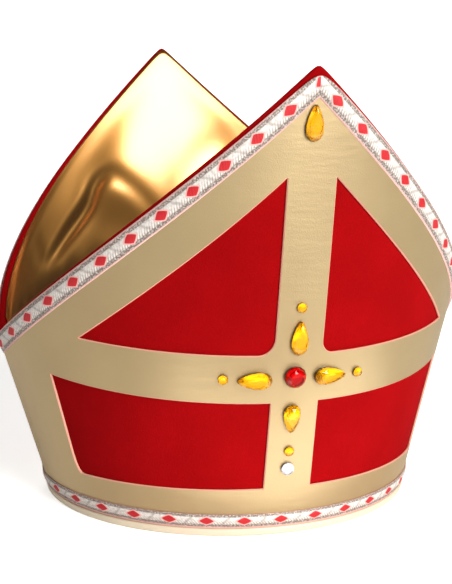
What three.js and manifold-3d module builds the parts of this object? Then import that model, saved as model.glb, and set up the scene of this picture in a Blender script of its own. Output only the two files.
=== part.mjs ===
// A bishop's mitre: two pointed velvet shields that meet at side seams, with gold panels cut
// out in windows, braid along the slopes and the rim, a satin lining between the two horns
// and a cross of cut stones on the front.
// Millimetres, +Z up, the front faces -Y, the origin is under the middle of the mitre's box,
// on the surface that it stands on. The shields are worked out about the middle of the rim.
import * as THREE from 'three';
import { mergeVertices } from 'three/addons/utils/BufferGeometryUtils.js';
import Module from 'manifold-3d';

const wasm = await Module();
wasm.setup();

// Form of the shields: an ellipse at the rim that opens into a pointed lens higher up
const RIM_HALF_WIDTH = 100;
const RIM_HALF_DEPTH = 91;
const UPPER_Z = 150;
const UPPER_HALF_WIDTH = 148.3;
const PEAK_Z = 242.3;
const SEAM_TOP_Z = 93.8;
const SLOPE_SWELL = 0.38;
const TIP_HALF_WIDTH = 1.6;
const BOARD_THICKNESS = 3;
const SEAM_GAP = 0.3;
const FRONT = { facing: -1, upperDepth: 112.9, upperTurn: 65.4, bow: -0.14 };
const REAR = { facing: 1, upperDepth: 120.3, upperTurn: 64.1, bow: 0.23 };

// Layers on the outside of the board, counted outwards from the velvet
const CLEARANCE = 0.3;
const GOLD_THICKNESS = 1;
const BRAID_THICKNESS = 1.2;
const GOLD_IN = CLEARANCE;
const GOLD_OUT = GOLD_IN + GOLD_THICKNESS;
const BRAID_IN = GOLD_OUT + CLEARANCE;
const BRAID_OUT = BRAID_IN + BRAID_THICKNESS;

// Braids and the turned edge that the mitre stands on
const BRAID_WIDTH = 10;
const VELVET_REVEAL = 1.5;
const BRAID_TIP_HALF_WIDTH = 4;
const GOLD_TOP_REVEAL = 3;
const BINDING_HEIGHT = 3.2;
const BINDING_FLOOR = 1;
const RIM_BRAID_HEIGHT = 9;

// Windows in the gold: arc lengths from the middle line and heights
const BAND_HALF_WIDTH = 12.7;
const LOWER_WINDOW = { bottom: 26.2, bottomRise: -0.85, top: 72.8, topRise: 3.2 };
const LOWER_OUTER_EDGE = { arcLow: 116.5, zLow: 30, arcHigh: 136.4, zHigh: 90 };
const UPPER_WINDOW = { bottom: 98.2, bottomRise: 2.9, peak: 199.8, seam: 56, swell: 0.29 };
const RISE_ARC = 100;
const UPPER_CORNER_RADIUS = { left: 8.5, right: 6 };
const LOWER_LEFT_ROUNDING = 12;
const SHARP_ROUNDING = 1.5;
const CORNER_STEPS = [0, 0.06, 0.25, 0.55];
const WINDOW_COLUMNS = 7;
const THINNEST_WINDOW = 0.4;
const CUTTER_REACH = 1.5;

// Satin between the horns
const SATIN_THICKNESS = 1.2;
const SATIN_TOP_REVEAL = 2;
const SATIN_END = 0.94;
const SATIN_SLACK = 0.5;
const VALLEY_MIDDLE_Z = 112;
const VALLEY_SIDE_DROP = 10;
const VALLEY_SQUARENESS = 3.4;
const SATIN_COLUMNS = 27;
const SATIN_ROWS = 12;
const SATIN_PATH_STEPS = 80;

// Main folds of the satin, each a ridge that runs through four points of a shield's face
const SATIN_FOLDS = [
  { side: REAR, arcs: [-122, -99, -74, -40], heights: [132, 146, 168, 193], lift: 9, width: 10 },
  { side: REAR, arcs: [-92, -61, -43, -16], heights: [114, 139, 162, 140], lift: 13, width: 11 },
  { side: REAR, arcs: [26, 44, 64, 92], heights: [182, 158, 138, 118], lift: 10, width: 11 },
  { side: REAR, arcs: [6, 20, 36, 58], heights: [152, 138, 126, 114], lift: 7, width: 10 },
  { side: FRONT, arcs: [-92, -70, -48, -28], heights: [120, 136, 153, 172], lift: 8, width: 11 },
  { side: FRONT, arcs: [90, 68, 44, 24], heights: [119, 134, 150, 168], lift: 8, width: 11 },
  { side: FRONT, arcs: [-30, -8, 14, 34], heights: [134, 126, 125, 130], lift: 7, width: 10 },
];

// Columns of the curved sheets
const SHIELD_COLUMNS = 36;
const SHIELD_ROWS = 4;
const BRAID_ROWS = 1;
const ARC_SAMPLES = 60;

// Cut stones, each glued flat on the front gold panel: arc and height of its middle
const STONES_OFF_MIDDLE = -1.5;
const DROP = { length: 18, width: 9.6, height: 4.4, sides: 12 };
const LOWER_DROP = { length: 15.5, width: 9.4, height: 4.2, sides: 12 };
const ROUND = { across: 11.6, height: 4.6, sides: 12 };
const SMALL_ROUND = { across: 5.4, height: 2.4, sides: 8 };
const CLEAR_ROUND = { across: 7, height: 3.2, sides: 10 };
const DROP_TAPER = 0.42;
const DROP_FULLNESS = 1.28;
const TABLE_SHARE = 0.56;
const MIDDLE_RING_SHARE = 0.84;
const GIRDLE_SHARE = 0.26;
const MIDDLE_RING_RISE = 0.72;

const STONES = [
  { name: 'stone_peak_drop', cut: DROP, gem: 'amber', arc: 0, z: 213.9, points: 'up' },
  { name: 'stone_upper_drop', cut: DROP, gem: 'amber', arc: 0, z: 107.7, points: 'up' },
  { name: 'stone_lower_drop', cut: LOWER_DROP, gem: 'amber', arc: 0, z: 65.6, points: 'down' },
  { name: 'stone_left_drop', cut: DROP, gem: 'amber', arc: -20.4, z: 86.4, points: 'left' },
  { name: 'stone_right_drop', cut: DROP, gem: 'amber', arc: 18.6, z: 86.8, points: 'right' },
  { name: 'stone_centre_round', cut: ROUND, gem: 'ruby', arc: 0, z: 87.3, points: 'up' },
  { name: 'stone_upper_small', cut: SMALL_ROUND, gem: 'amber', arc: 0, z: 123.8, points: 'up' },
  { name: 'stone_lower_small', cut: SMALL_ROUND, gem: 'amber', arc: 0, z: 47.4, points: 'up' },
  { name: 'stone_left_small', cut: SMALL_ROUND, gem: 'amber', arc: -35.8, z: 87, points: 'up' },
  { name: 'stone_right_small', cut: SMALL_ROUND, gem: 'amber', arc: 35.4, z: 86.8, points: 'up' },
  { name: 'stone_foot_clear', cut: CLEAR_ROUND, gem: 'clear', arc: 0, z: 37.9, points: 'up' },
];

const MATERIALS = {
  velvet: { color: 0xb40f1e, roughness: 0.9, metalness: 0 },
  gold: { color: 0xc4aa78, roughness: 0.45, metalness: 0.3 },
  braid: { color: 0xdcd2cc, roughness: 0.6, metalness: 0.2 },
  satin: { color: 0xc89a50, roughness: 0.35, metalness: 0.1 },
  amber: { color: 0xf0a818, roughness: 0.1, metalness: 0 },
  ruby: { color: 0xc81820, roughness: 0.1, metalness: 0 },
  clear: { color: 0xf4f4f8, roughness: 0.05, metalness: 0 },
};

const DEGREE = Math.PI / 180;
const mix = (a, b, part) => a + (b - a) * part;

// Outer face of a shield: across runs from -1 at the left seam to 1 at the right seam
function shieldPoint(side, across, z) {
  const turn = side.upperTurn * DEGREE;
  const quarter = Math.PI / 2;
  const lowX = RIM_HALF_WIDTH * Math.sin(quarter * across);
  const lowY = RIM_HALF_DEPTH * Math.cos(quarter * across);
  const highX = (UPPER_HALF_WIDTH * Math.sin(turn * across)) / Math.sin(turn);
  const highY = (side.upperDepth * (Math.cos(turn * across) - Math.cos(turn))) / (1 - Math.cos(turn));
  const rise = z / UPPER_Z;
  const bowed = rise + side.bow * rise * (rise - 1);
  return new THREE.Vector3(
    mix(lowX, highX, rise),
    side.facing * mix(lowY, highY, bowed),
    z,
  );
}

// Direction out of a shield's face
function shieldNormal(side, across, z) {
  const step = 0.002;
  const along = shieldPoint(side, across + step, z).sub(shieldPoint(side, across - step, z));
  const up = shieldPoint(side, across, z + 1).sub(shieldPoint(side, across, z - 1));
  return along.cross(up).multiplyScalar(-side.facing).normalize();
}

// Point at a distance outside the face, at the same height, mitred in the plane of the seams
function layerPoint(side, across, z, distance) {
  const point = shieldPoint(side, across, z);
  const normal = shieldNormal(side, across, z);
  if (Math.abs(across) < 1) {
    const level = normal.clone().setZ(0);
    return point.addScaledVector(level, distance / level.lengthSq());
  }
  point.x += distance / normal.x;
  point.y = (side.facing * SEAM_GAP) / 2;
  return point;
}

// Arc length from the middle line at one height, and the way back from it
function arcTable(side, z) {
  const arcs = [0];
  let last = shieldPoint(side, 0, z);
  for (let i = 1; i <= ARC_SAMPLES; i += 1) {
    const next = shieldPoint(side, i / ARC_SAMPLES, z);
    arcs.push(arcs[i - 1] + next.distanceTo(last));
    last = next;
  }
  return arcs;
}

function arcTo(side, across, z) {
  const arcs = arcTable(side, z);
  const place = Math.min(Math.abs(across) * ARC_SAMPLES, ARC_SAMPLES - 1e-9);
  const index = Math.floor(place);
  return Math.sign(across) * mix(arcs[index], arcs[index + 1], place - index);
}

function acrossAt(side, arc, z) {
  const arcs = arcTable(side, z);
  const wanted = Math.abs(arc);
  let index = 0;
  while (index < ARC_SAMPLES - 1 && arcs[index + 1] < wanted) {
    index += 1;
  }
  const part = (wanted - arcs[index]) / (arcs[index + 1] - arcs[index]);
  return (Math.sign(arc) * (index + part)) / ARC_SAMPLES;
}

// Slanted tops: height of the velvet edge, blunt over the tip, less a width square to the edge
const UPPER_HALF_ARC = arcTo(FRONT, 1, UPPER_Z);

function slopeHeight(across, below = 0, tipHalfWidth = TIP_HALF_WIDTH) {
  const arc = Math.abs(arcTo(FRONT, across, UPPER_Z));
  const part = Math.max(arc, tipHalfWidth) / UPPER_HALF_ARC;
  const drop = PEAK_Z - SEAM_TOP_Z;
  const steepness = (drop / UPPER_HALF_ARC) * (1 + SLOPE_SWELL * (1 - 2 * part));
  return PEAK_Z - drop * (part + SLOPE_SWELL * part * (1 - part)) - below * Math.hypot(1, steepness);
}

// Even places across a shield, out to a last one at each side
function evenPlaces(count, end = 1) {
  return Array.from({ length: count + 1 }, (_, i) => mix(-end, end, i / count));
}

// The same with one more at each side of the blunt tips
function stations(count) {
  const list = evenPlaces(count);
  for (const halfWidth of [TIP_HALF_WIDTH, BRAID_TIP_HALF_WIDTH]) {
    const across = acrossAt(FRONT, halfWidth, UPPER_Z);
    list.push(-across, across);
  }
  return list.sort((a, b) => a - b);
}

// Closed solid between two layers of points; a ring closes on itself along its columns
function sheetSolid(outer, inner, ring = false) {
  const columns = outer.length;
  const rows = outer[0].length;
  const positions = [];
  for (const layer of [outer, inner]) {
    for (const column of layer) {
      for (const point of column) {
        positions.push(point.x, point.y, point.z);
      }
    }
  }
  const at = (layer, i, j) => layer * columns * rows + (i % columns) * rows + j;
  const faces = [];
  const quad = (a, b, c, d) => faces.push(a, b, c, a, c, d);
  const spans = ring ? columns : columns - 1;
  for (let i = 0; i < spans; i += 1) {
    for (let j = 0; j < rows - 1; j += 1) {
      quad(at(0, i, j), at(0, i + 1, j), at(0, i + 1, j + 1), at(0, i, j + 1));
      quad(at(1, i, j), at(1, i, j + 1), at(1, i + 1, j + 1), at(1, i + 1, j));
    }
    quad(at(0, i, 0), at(1, i, 0), at(1, i + 1, 0), at(0, i + 1, 0));
    quad(at(0, i, rows - 1), at(0, i + 1, rows - 1), at(1, i + 1, rows - 1), at(1, i, rows - 1));
  }
  if (!ring) {
    const last = columns - 1;
    for (let j = 0; j < rows - 1; j += 1) {
      quad(at(0, 0, j), at(0, 0, j + 1), at(1, 0, j + 1), at(1, 0, j));
      quad(at(0, last, j), at(1, last, j), at(1, last, j + 1), at(0, last, j + 1));
    }
  }
  return facingOut(positions, faces);
}

// Indexed geometry whose faces point out, whichever way round they were listed
function facingOut(positions, faces) {
  const corner = (index) => new THREE.Vector3().fromArray(positions, index * 3);
  let volume = 0;
  for (let i = 0; i < faces.length; i += 3) {
    const [a, b, c] = [corner(faces[i]), corner(faces[i + 1]), corner(faces[i + 2])];
    volume += a.dot(b.cross(c));
  }
  const index = [];
  for (let i = 0; i < faces.length; i += 3) {
    index.push(faces[i], ...(volume > 0 ? [faces[i + 1], faces[i + 2]] : [faces[i + 2], faces[i + 1]]));
  }
  const geometry = new THREE.BufferGeometry();
  geometry.setAttribute('position', new THREE.Float32BufferAttribute(positions, 3));
  geometry.setIndex(index);
  return geometry;
}

// Sheet that follows a shield between two distances, from a bottom to a top height
function shieldSheet(side, across, rows, inDistance, outDistance, bottomAt, topAt) {
  const layer = (distance) => across.map((place) => {
    const column = [];
    for (let j = 0; j <= rows; j += 1) {
      const z = mix(bottomAt(place), topAt(place), j / rows);
      column.push(layerPoint(side, place, z, distance));
    }
    return column;
  });
  return sheetSolid(layer(outDistance), layer(inDistance));
}

// Solids for cutting, and the geometry that comes back
function toManifold(geometry) {
  const bare = new THREE.BufferGeometry();
  bare.setAttribute('position', geometry.getAttribute('position'));
  bare.setIndex(geometry.getIndex());
  const merged = mergeVertices(bare, 1e-4);
  return new wasm.Manifold(new wasm.Mesh({
    numProp: 3,
    vertProperties: new Float32Array(merged.getAttribute('position').array),
    triVerts: new Uint32Array(merged.getIndex().array),
  }));
}

function fromManifold(solid) {
  const mesh = solid.getMesh();
  const geometry = new THREE.BufferGeometry();
  geometry.setAttribute('position', new THREE.BufferAttribute(new Float32Array(mesh.vertProperties), 3));
  geometry.setIndex(new THREE.BufferAttribute(new Uint32Array(mesh.triVerts), 1));
  return geometry;
}

// Height that a rounded corner takes from an edge, at a distance in from the corner
function cornerRise(distance, radius) {
  const inside = Math.max(radius - distance, 0);
  return radius - Math.sqrt(Math.max(radius * radius - inside * inside, 0));
}

// Arc at which a window's lower and upper edges meet
function windowEnd(lowerEdge, upperEdge) {
  let arc = BAND_HALF_WIDTH;
  while (upperEdge(arc) > lowerEdge(arc)) {
    arc += 0.5;
  }
  return arc;
}

// Cutter for one window: columns at the given arcs, each from its lower to its upper edge
function windowCutter(side, hand, arcs, lowerEdge, upperEdge) {
  const layer = (distance) => arcs.map((arc) => {
    const low = lowerEdge(arc);
    const high = Math.max(upperEdge(arc), low + THINNEST_WINDOW);
    return [low, high].map((z) => layerPoint(side, acrossAt(side, hand * arc, z), z, distance));
  });
  return toManifold(sheetSolid(layer(GOLD_OUT + CUTTER_REACH), layer(GOLD_IN - CUTTER_REACH)));
}

function evenArcs(from, to, count) {
  return Array.from({ length: count + 1 }, (_, i) => mix(from, to, i / count));
}

function upperWindow(side, hand) {
  const { bottom, bottomRise, peak, seam, swell } = UPPER_WINDOW;
  const radius = hand * -side.facing < 0 ? UPPER_CORNER_RADIUS.left : UPPER_CORNER_RADIUS.right;
  const lowerEdge = (arc) => bottom + bottomRise * (arc / RISE_ARC) ** 2
    + cornerRise(arc - BAND_HALF_WIDTH, radius);
  const upperEdge = (arc) => {
    const across = acrossAt(FRONT, arc, lowerEdge(arc));
    const part = arcTo(FRONT, across, UPPER_Z) / UPPER_HALF_ARC;
    return peak - (peak - seam) * (part + swell * part * (1 - part));
  };
  const corner = CORNER_STEPS.map((step) => BAND_HALF_WIDTH + radius * step);
  const rest = evenArcs(BAND_HALF_WIDTH + radius, windowEnd(lowerEdge, upperEdge), WINDOW_COLUMNS);
  return windowCutter(side, hand, [...corner, ...rest], lowerEdge, upperEdge);
}

function lowerWindow(side, hand) {
  const { bottom, bottomRise, top, topRise } = LOWER_WINDOW;
  const { arcLow, zLow, arcHigh, zHigh } = LOWER_OUTER_EDGE;
  const steepness = (zHigh - zLow) / (arcHigh - arcLow);
  const upperEdge = (arc) => top + topRise * (arc / RISE_ARC) ** 2;
  const floor = (arc) => bottom + bottomRise * (arc / RISE_ARC) ** 2;
  const outer = (arc) => zLow + (arc - arcLow) * steepness;
  const rounding = hand * -side.facing < 0 ? LOWER_LEFT_ROUNDING : SHARP_ROUNDING;
  const lowerEdge = (arc) => {
    const gap = floor(arc) - outer(arc);
    const blend = Math.max(rounding - Math.abs(gap), 0) ** 2 / (4 * rounding);
    return Math.max(floor(arc), outer(arc)) + blend;
  };
  const corner = arcLow + (floor(arcLow) - zLow) / steepness;
  const reach = rounding / steepness;
  const inner = evenArcs(BAND_HALF_WIDTH, corner - reach, WINDOW_COLUMNS);
  const turn = [corner - reach / 2, corner, corner + reach / 2, corner + reach];
  const arcs = [...inner, ...turn, windowEnd(lowerEdge, upperEdge)];
  return windowCutter(side, hand, arcs, lowerEdge, upperEdge);
}

function goldPanel(side) {
  const across = stations(SHIELD_COLUMNS);
  const sheet = shieldSheet(side, across, SHIELD_ROWS, GOLD_IN, GOLD_OUT,
    () => BINDING_HEIGHT + CLEARANCE, (place) => slopeHeight(place, GOLD_TOP_REVEAL, BRAID_TIP_HALF_WIDTH));
  let panel = toManifold(sheet);
  for (const hand of [-1, 1]) {
    panel = panel.subtract(upperWindow(side, hand)).subtract(lowerWindow(side, hand));
  }
  return fromManifold(panel);
}

function shield(side) {
  return shieldSheet(side, stations(SHIELD_COLUMNS), SHIELD_ROWS, -BOARD_THICKNESS, 0,
    () => BINDING_FLOOR + CLEARANCE, (place) => slopeHeight(place));
}

function slopeBraid(side) {
  return shieldSheet(side, stations(SHIELD_COLUMNS), BRAID_ROWS, BRAID_IN, BRAID_OUT,
    (place) => slopeHeight(place, VELVET_REVEAL + BRAID_WIDTH, 0),
    (place) => slopeHeight(place, VELVET_REVEAL, BRAID_TIP_HALF_WIDTH));
}

// Places once round the rim, front and rear, with one at each seam
function roundTheRim() {
  const places = [];
  for (const side of [FRONT, REAR]) {
    for (let i = 0; i < SHIELD_COLUMNS; i += 1) {
      places.push({ side, across: -side.facing * mix(-1, 1, i / SHIELD_COLUMNS) });
    }
  }
  return places;
}

function rimPoint({ side, across }, z, distance) {
  const point = layerPoint(side, across, z, distance);
  if (Math.abs(across) === 1) {
    point.y = 0;
  }
  return point;
}

function rimBraid() {
  const bottom = BINDING_HEIGHT + CLEARANCE;
  const layer = (distance) => roundTheRim().map((place) => (
    [bottom, bottom + RIM_BRAID_HEIGHT].map((z) => rimPoint(place, z, distance))
  ));
  return sheetSolid(layer(BRAID_OUT), layer(BRAID_IN), true);
}

// Turned edge: a lip under the board and a low wall outside it
function rimBinding() {
  const wallIn = GOLD_IN;
  const wallOut = BRAID_IN + BRAID_THICKNESS / 2;
  const outside = roundTheRim().map((place) => [
    rimPoint(place, 0, -BOARD_THICKNESS),
    rimPoint(place, 0, wallOut),
    rimPoint(place, BINDING_HEIGHT, wallOut),
  ]);
  const inside = roundTheRim().map((place) => [
    rimPoint(place, BINDING_FLOOR, -BOARD_THICKNESS),
    rimPoint(place, BINDING_FLOOR, wallIn),
    rimPoint(place, BINDING_HEIGHT, wallIn),
  ]);
  return sheetSolid(outside, inside, true);
}

// The folds' ridges, the share of each that fades at its ends, and their fading near the edges
const FOLD_STEPS = 24;
const FOLD_ENDS = 0.12;
const FOLD_FADE = { height: 12, across: 0.12 };
const foldRidges = SATIN_FOLDS.map(({ arcs, heights }) => (
  new THREE.SplineCurve(arcs.map((arc, i) => new THREE.Vector2(arc, heights[i]))).getPoints(FOLD_STEPS)
));

// How far the folds lift the satin off a shield at an arc and height
function foldLift(side, arc, z) {
  const here = new THREE.Vector2(arc, z);
  let lift = 0;
  SATIN_FOLDS.forEach((fold, row) => {
    if (fold.side !== side) {
      return;
    }
    const distances = foldRidges[row].map((point) => point.distanceTo(here));
    const nearest = Math.min(...distances);
    const part = distances.indexOf(nearest) / FOLD_STEPS;
    const fade = Math.sin(Math.PI * mix(FOLD_ENDS, 1 - FOLD_ENDS, part));
    lift += fold.lift * fade * Math.exp(-((nearest / fold.width) ** 2));
  });
  return lift;
}

// Middle of one side's satin: travel runs from 0 at the valley's seam to 1 at the slope
function satinMiddle(side, across, travel) {
  const angle = (travel * Math.PI) / 2;
  const power = 2 / VALLEY_SQUARENESS;
  const outward = Math.sin(angle) ** power;
  const climb = 1 - Math.abs(Math.cos(angle)) ** power;
  const top = slopeHeight(across, SATIN_TOP_REVEAL);
  const edge = slopeHeight(SATIN_END) - VALLEY_SIDE_DROP;
  const valley = mix(VALLEY_MIDDLE_Z, edge, across ** 2);
  const z = mix(valley, top, climb);
  const depth = BOARD_THICKNESS + CLEARANCE + SATIN_SLACK + SATIN_THICKNESS / 2;
  const near = layerPoint(side, across, z, -depth);
  const other = layerPoint(side === FRONT ? REAR : FRONT, across, z, -depth);
  const share = (1 + outward) / 2;
  const x = mix(other.x, near.x, share);
  const topFade = Math.min((top - z) / FOLD_FADE.height, 1);
  const sideFade = Math.min((1 - Math.abs(across)) / FOLD_FADE.across, 1);
  const lift = foldLift(side, arcTo(side, across, z), z) * topFade * sideFade;
  const shrink = Math.max(Math.abs(near.y) * outward - lift * outward, 0);
  return new THREE.Vector3(x, side.facing * (shrink + SEAM_GAP / 2), z);
}

// Rows of one column, spread evenly along its own path
function satinColumn(side, across) {
  const path = [];
  for (let i = 0; i <= SATIN_PATH_STEPS; i += 1) {
    path.push(satinMiddle(side, across, i / SATIN_PATH_STEPS));
  }
  const curve = new THREE.CatmullRomCurve3(path, false, 'centripetal');
  curve.arcLengthDivisions = SATIN_PATH_STEPS * 4;
  return curve.getSpacedPoints(SATIN_ROWS);
}

function satinLining(side) {
  const middle = evenPlaces(SATIN_COLUMNS, SATIN_END).map((across) => satinColumn(side, across));
  const last = middle.length - 1;
  const offset = (amount) => middle.map((column, i) => column.map((point, j) => {
    const before = middle[Math.max(i - 1, 0)][j];
    const after = middle[Math.min(i + 1, last)][j];
    const along = after.clone().sub(before);
    const down = column[Math.min(j + 1, SATIN_ROWS)].clone().sub(column[Math.max(j - 1, 0)]);
    return point.clone().addScaledVector(along.cross(down).normalize(), amount);
  }));
  return sheetSolid(offset(SATIN_THICKNESS / 2), offset(-SATIN_THICKNESS / 2));
}

// Outline of a cut stone in its own plane: a circle, or a drop with its point along +Y
function stoneOutline(cut) {
  return Array.from({ length: cut.sides }, (_, i) => {
    const angle = (i / cut.sides) * 2 * Math.PI + Math.PI / 2;
    const rise = Math.sin(angle);
    const taper = cut.across ? 1 : mix(1, DROP_TAPER, (1 + rise) / 2);
    const width = cut.across ?? cut.width * DROP_FULLNESS;
    const length = cut.across ?? cut.length;
    return new THREE.Vector2((width / 2) * Math.cos(angle) * taper, (length / 2) * rise);
  });
}

// Cut stone: flat back, girdle, a ring of crown facets turned half a step, and the table
function stoneGeometry(cut) {
  const outline = stoneOutline(cut);
  const sides = cut.sides;
  const halfway = outline.map((point, i) => point.clone().add(outline[(i + 1) % sides]).multiplyScalar(0.5));
  const rings = [
    { points: outline, share: 0.97, z: 0 },
    { points: outline, share: 1, z: cut.height * GIRDLE_SHARE },
    { points: halfway, share: MIDDLE_RING_SHARE, z: cut.height * MIDDLE_RING_RISE },
    { points: outline, share: TABLE_SHARE, z: cut.height },
  ];
  const positions = [];
  for (const ring of rings) {
    for (const point of ring.points) {
      positions.push(point.x * ring.share, point.y * ring.share, ring.z);
    }
  }
  const at = (ring, i) => ring * sides + (i % sides);
  const faces = [];
  for (let i = 0; i < sides; i += 1) {
    faces.push(at(0, i), at(0, i + 1), at(1, i + 1), at(0, i), at(1, i + 1), at(1, i));
    faces.push(at(1, i), at(1, i + 1), at(2, i));
    faces.push(at(2, i), at(1, i + 1), at(2, i + 1));
    faces.push(at(2, i), at(3, i + 1), at(3, i));
    faces.push(at(2, i), at(2, i + 1), at(3, i + 1));
  }
  for (let i = 1; i < sides - 1; i += 1) {
    faces.push(at(0, 0), at(0, i + 1), at(0, i));
    faces.push(at(3, 0), at(3, i), at(3, i + 1));
  }
  return facingOut(positions, faces);
}

const group = new THREE.Group();

function addPiece(name, geometry, material) {
  geometry.computeVertexNormals();
  const mesh = new THREE.Mesh(geometry, new THREE.MeshStandardMaterial(MATERIALS[material]));
  mesh.name = name;
  group.add(mesh);
  return mesh;
}

// Places a stone on the gold, its back square to the face and its point along the given way
function placeStone(mesh, arc, z, points) {
  const across = acrossAt(FRONT, STONES_OFF_MIDDLE + arc, z);
  const out = shieldNormal(FRONT, across, z);
  const along = shieldPoint(FRONT, across + 0.01, z).sub(shieldPoint(FRONT, across - 0.01, z)).normalize();
  const up = out.clone().cross(along);
  const turns = { up: 0, left: 1, down: 2, right: 3 };
  mesh.position.copy(layerPoint(FRONT, across, z, GOLD_OUT + CLEARANCE));
  mesh.quaternion.setFromRotationMatrix(new THREE.Matrix4().makeBasis(along, up, out));
  mesh.rotateZ((turns[points] * Math.PI) / 2);
}

addPiece('front_shield', shield(FRONT), 'velvet');
addPiece('rear_shield', shield(REAR), 'velvet');
addPiece('front_gold_panel', goldPanel(FRONT), 'gold');
addPiece('rear_gold_panel', goldPanel(REAR), 'gold');
addPiece('front_edge_braid', slopeBraid(FRONT), 'braid');
addPiece('rear_edge_braid', slopeBraid(REAR), 'braid');
addPiece('rim_braid', rimBraid(), 'braid');
addPiece('rim_binding', rimBinding(), 'gold');
addPiece('front_satin_lining', satinLining(FRONT), 'satin');
addPiece('rear_satin_lining', satinLining(REAR), 'satin');
for (const stone of STONES) {
  placeStone(addPiece(stone.name, stoneGeometry(stone.cut), stone.gem), stone.arc, stone.z, stone.points);
}

// The rear horn leans out further than the front one, so the rim stands forward of the origin
const middleOfBox = new THREE.Box3().setFromObject(group, true).getCenter(new THREE.Vector3());
group.position.set(-middleOfBox.x, -middleOfBox.y, 0);

export default group;
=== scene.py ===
# A bishop's mitre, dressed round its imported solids: velvet shields, gold cut-out panels, woven
# braid, satin between the horns and a cross of cut stones.
import math

import bpy
import numpy as np
from mathutils import Matrix, Vector
from mathutils.geometry import delaunay_2d_cdt


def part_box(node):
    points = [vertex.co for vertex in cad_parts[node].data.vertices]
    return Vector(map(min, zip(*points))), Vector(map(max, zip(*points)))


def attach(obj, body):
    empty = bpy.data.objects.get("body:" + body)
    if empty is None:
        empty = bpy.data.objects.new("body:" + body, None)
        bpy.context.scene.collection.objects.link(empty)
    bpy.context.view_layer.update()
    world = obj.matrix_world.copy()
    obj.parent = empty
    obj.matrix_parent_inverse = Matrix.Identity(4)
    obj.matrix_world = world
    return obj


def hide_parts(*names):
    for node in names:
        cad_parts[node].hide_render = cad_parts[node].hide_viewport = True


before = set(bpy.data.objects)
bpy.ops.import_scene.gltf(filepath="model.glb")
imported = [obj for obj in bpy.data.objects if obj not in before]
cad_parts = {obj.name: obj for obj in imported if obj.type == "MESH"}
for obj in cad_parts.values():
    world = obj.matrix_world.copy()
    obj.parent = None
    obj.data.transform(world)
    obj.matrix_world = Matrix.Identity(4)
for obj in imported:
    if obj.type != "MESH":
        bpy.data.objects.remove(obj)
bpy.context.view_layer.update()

# Camera
# It looks down a little from the left of the front, with the slight roll and the off-centre
# framing of the photograph. The rim's middle is where the shields are worked out from.
rim_low, rim_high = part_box("rim_binding")
RIM_MIDDLE_Y = (rim_low.y + rim_high.y) / 2
CAMERA_AZIMUTH = math.radians(-19.1)
CAMERA_ELEVATION = math.radians(9.8)
CAMERA_ROLL = math.radians(1.16)
CAMERA_DISTANCE = 0.78817
CAMERA_TARGET = Vector((0, RIM_MIDDLE_Y, 0.13))
FRAME_WIDTH_PX = 452
FRAME_HEIGHT_PX = 584
FOCAL_PX = 1403.25
OPTICAL_MIDDLE_PX = (230.13, 255.07)
SENSOR_MM = 36

back = Vector((
    math.sin(CAMERA_AZIMUTH) * math.cos(CAMERA_ELEVATION),
    -math.cos(CAMERA_AZIMUTH) * math.cos(CAMERA_ELEVATION),
    math.sin(CAMERA_ELEVATION),
))
level_right = Vector((math.cos(CAMERA_AZIMUTH), math.sin(CAMERA_AZIMUTH), 0))
plumb_up = back.cross(level_right)
right = level_right * math.cos(CAMERA_ROLL) + plumb_up * math.sin(CAMERA_ROLL)
up = back.cross(right)

camera_data = bpy.data.cameras.new("camera")
camera_data.sensor_width = SENSOR_MM
camera_data.lens = FOCAL_PX / FRAME_HEIGHT_PX * SENSOR_MM
camera_data.shift_x = (FRAME_WIDTH_PX / 2 - OPTICAL_MIDDLE_PX[0]) / FRAME_HEIGHT_PX
camera_data.shift_y = (OPTICAL_MIDDLE_PX[1] - FRAME_HEIGHT_PX / 2) / FRAME_HEIGHT_PX
camera = bpy.data.objects.new("camera", camera_data)
bpy.context.scene.collection.objects.link(camera)
turned = Matrix((right, up, back)).transposed().to_4x4()
camera.matrix_world = Matrix.Translation(CAMERA_TARGET + back * CAMERA_DISTANCE) @ turned
bpy.context.scene.camera = camera

# Velvet shields
# Stiff board about 3 mm thick, covered in short-pile red velvet that wraps over its edges. An
# ellipse at the rim opens into a pointed lens, and the rear horn leans out further.
RIM_HALF_WIDTH = 100
RIM_HALF_DEPTH = 91
UPPER_Z = 150
UPPER_HALF_WIDTH = 148.3
PEAK_Z = 242.3
SEAM_TOP_Z = 93.8
SLOPE_SWELL = 0.38
TIP_HALF_WIDTH = 1.6
BESIDE_PEAK = (0.8, TIP_HALF_WIDTH, 3, 4)
BOARD_THICKNESS = 3
BOARD_FOOT_Z = 1.3
SEAM_GAP = 0.3
ACROSS_STEP = 0.001
ARC_STEPS = 48
ARC_CORRECTIONS = 5
FRONT = {"name": "front", "facing": -1, "depth": 112.9, "turn": math.radians(65.4), "bow": -0.14}
REAR = {"name": "rear", "facing": 1, "depth": 120.3, "turn": math.radians(64.1), "bow": 0.23}
SIDES = (FRONT, REAR)
VELVET_RED = "9b060a"
VELVET_LIGHT_RED = "ff2432"
VELVET_DARK_RED = "920508"
PILE_SWAY_MM = 26.3
# Tufts of the pile are about 0.5 mm wide, and are drawn 1 mm wide so that they show.
PILE_TUFT_MM = 1.0


def mix(a, b, part):
    return a + (b - a) * part


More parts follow.
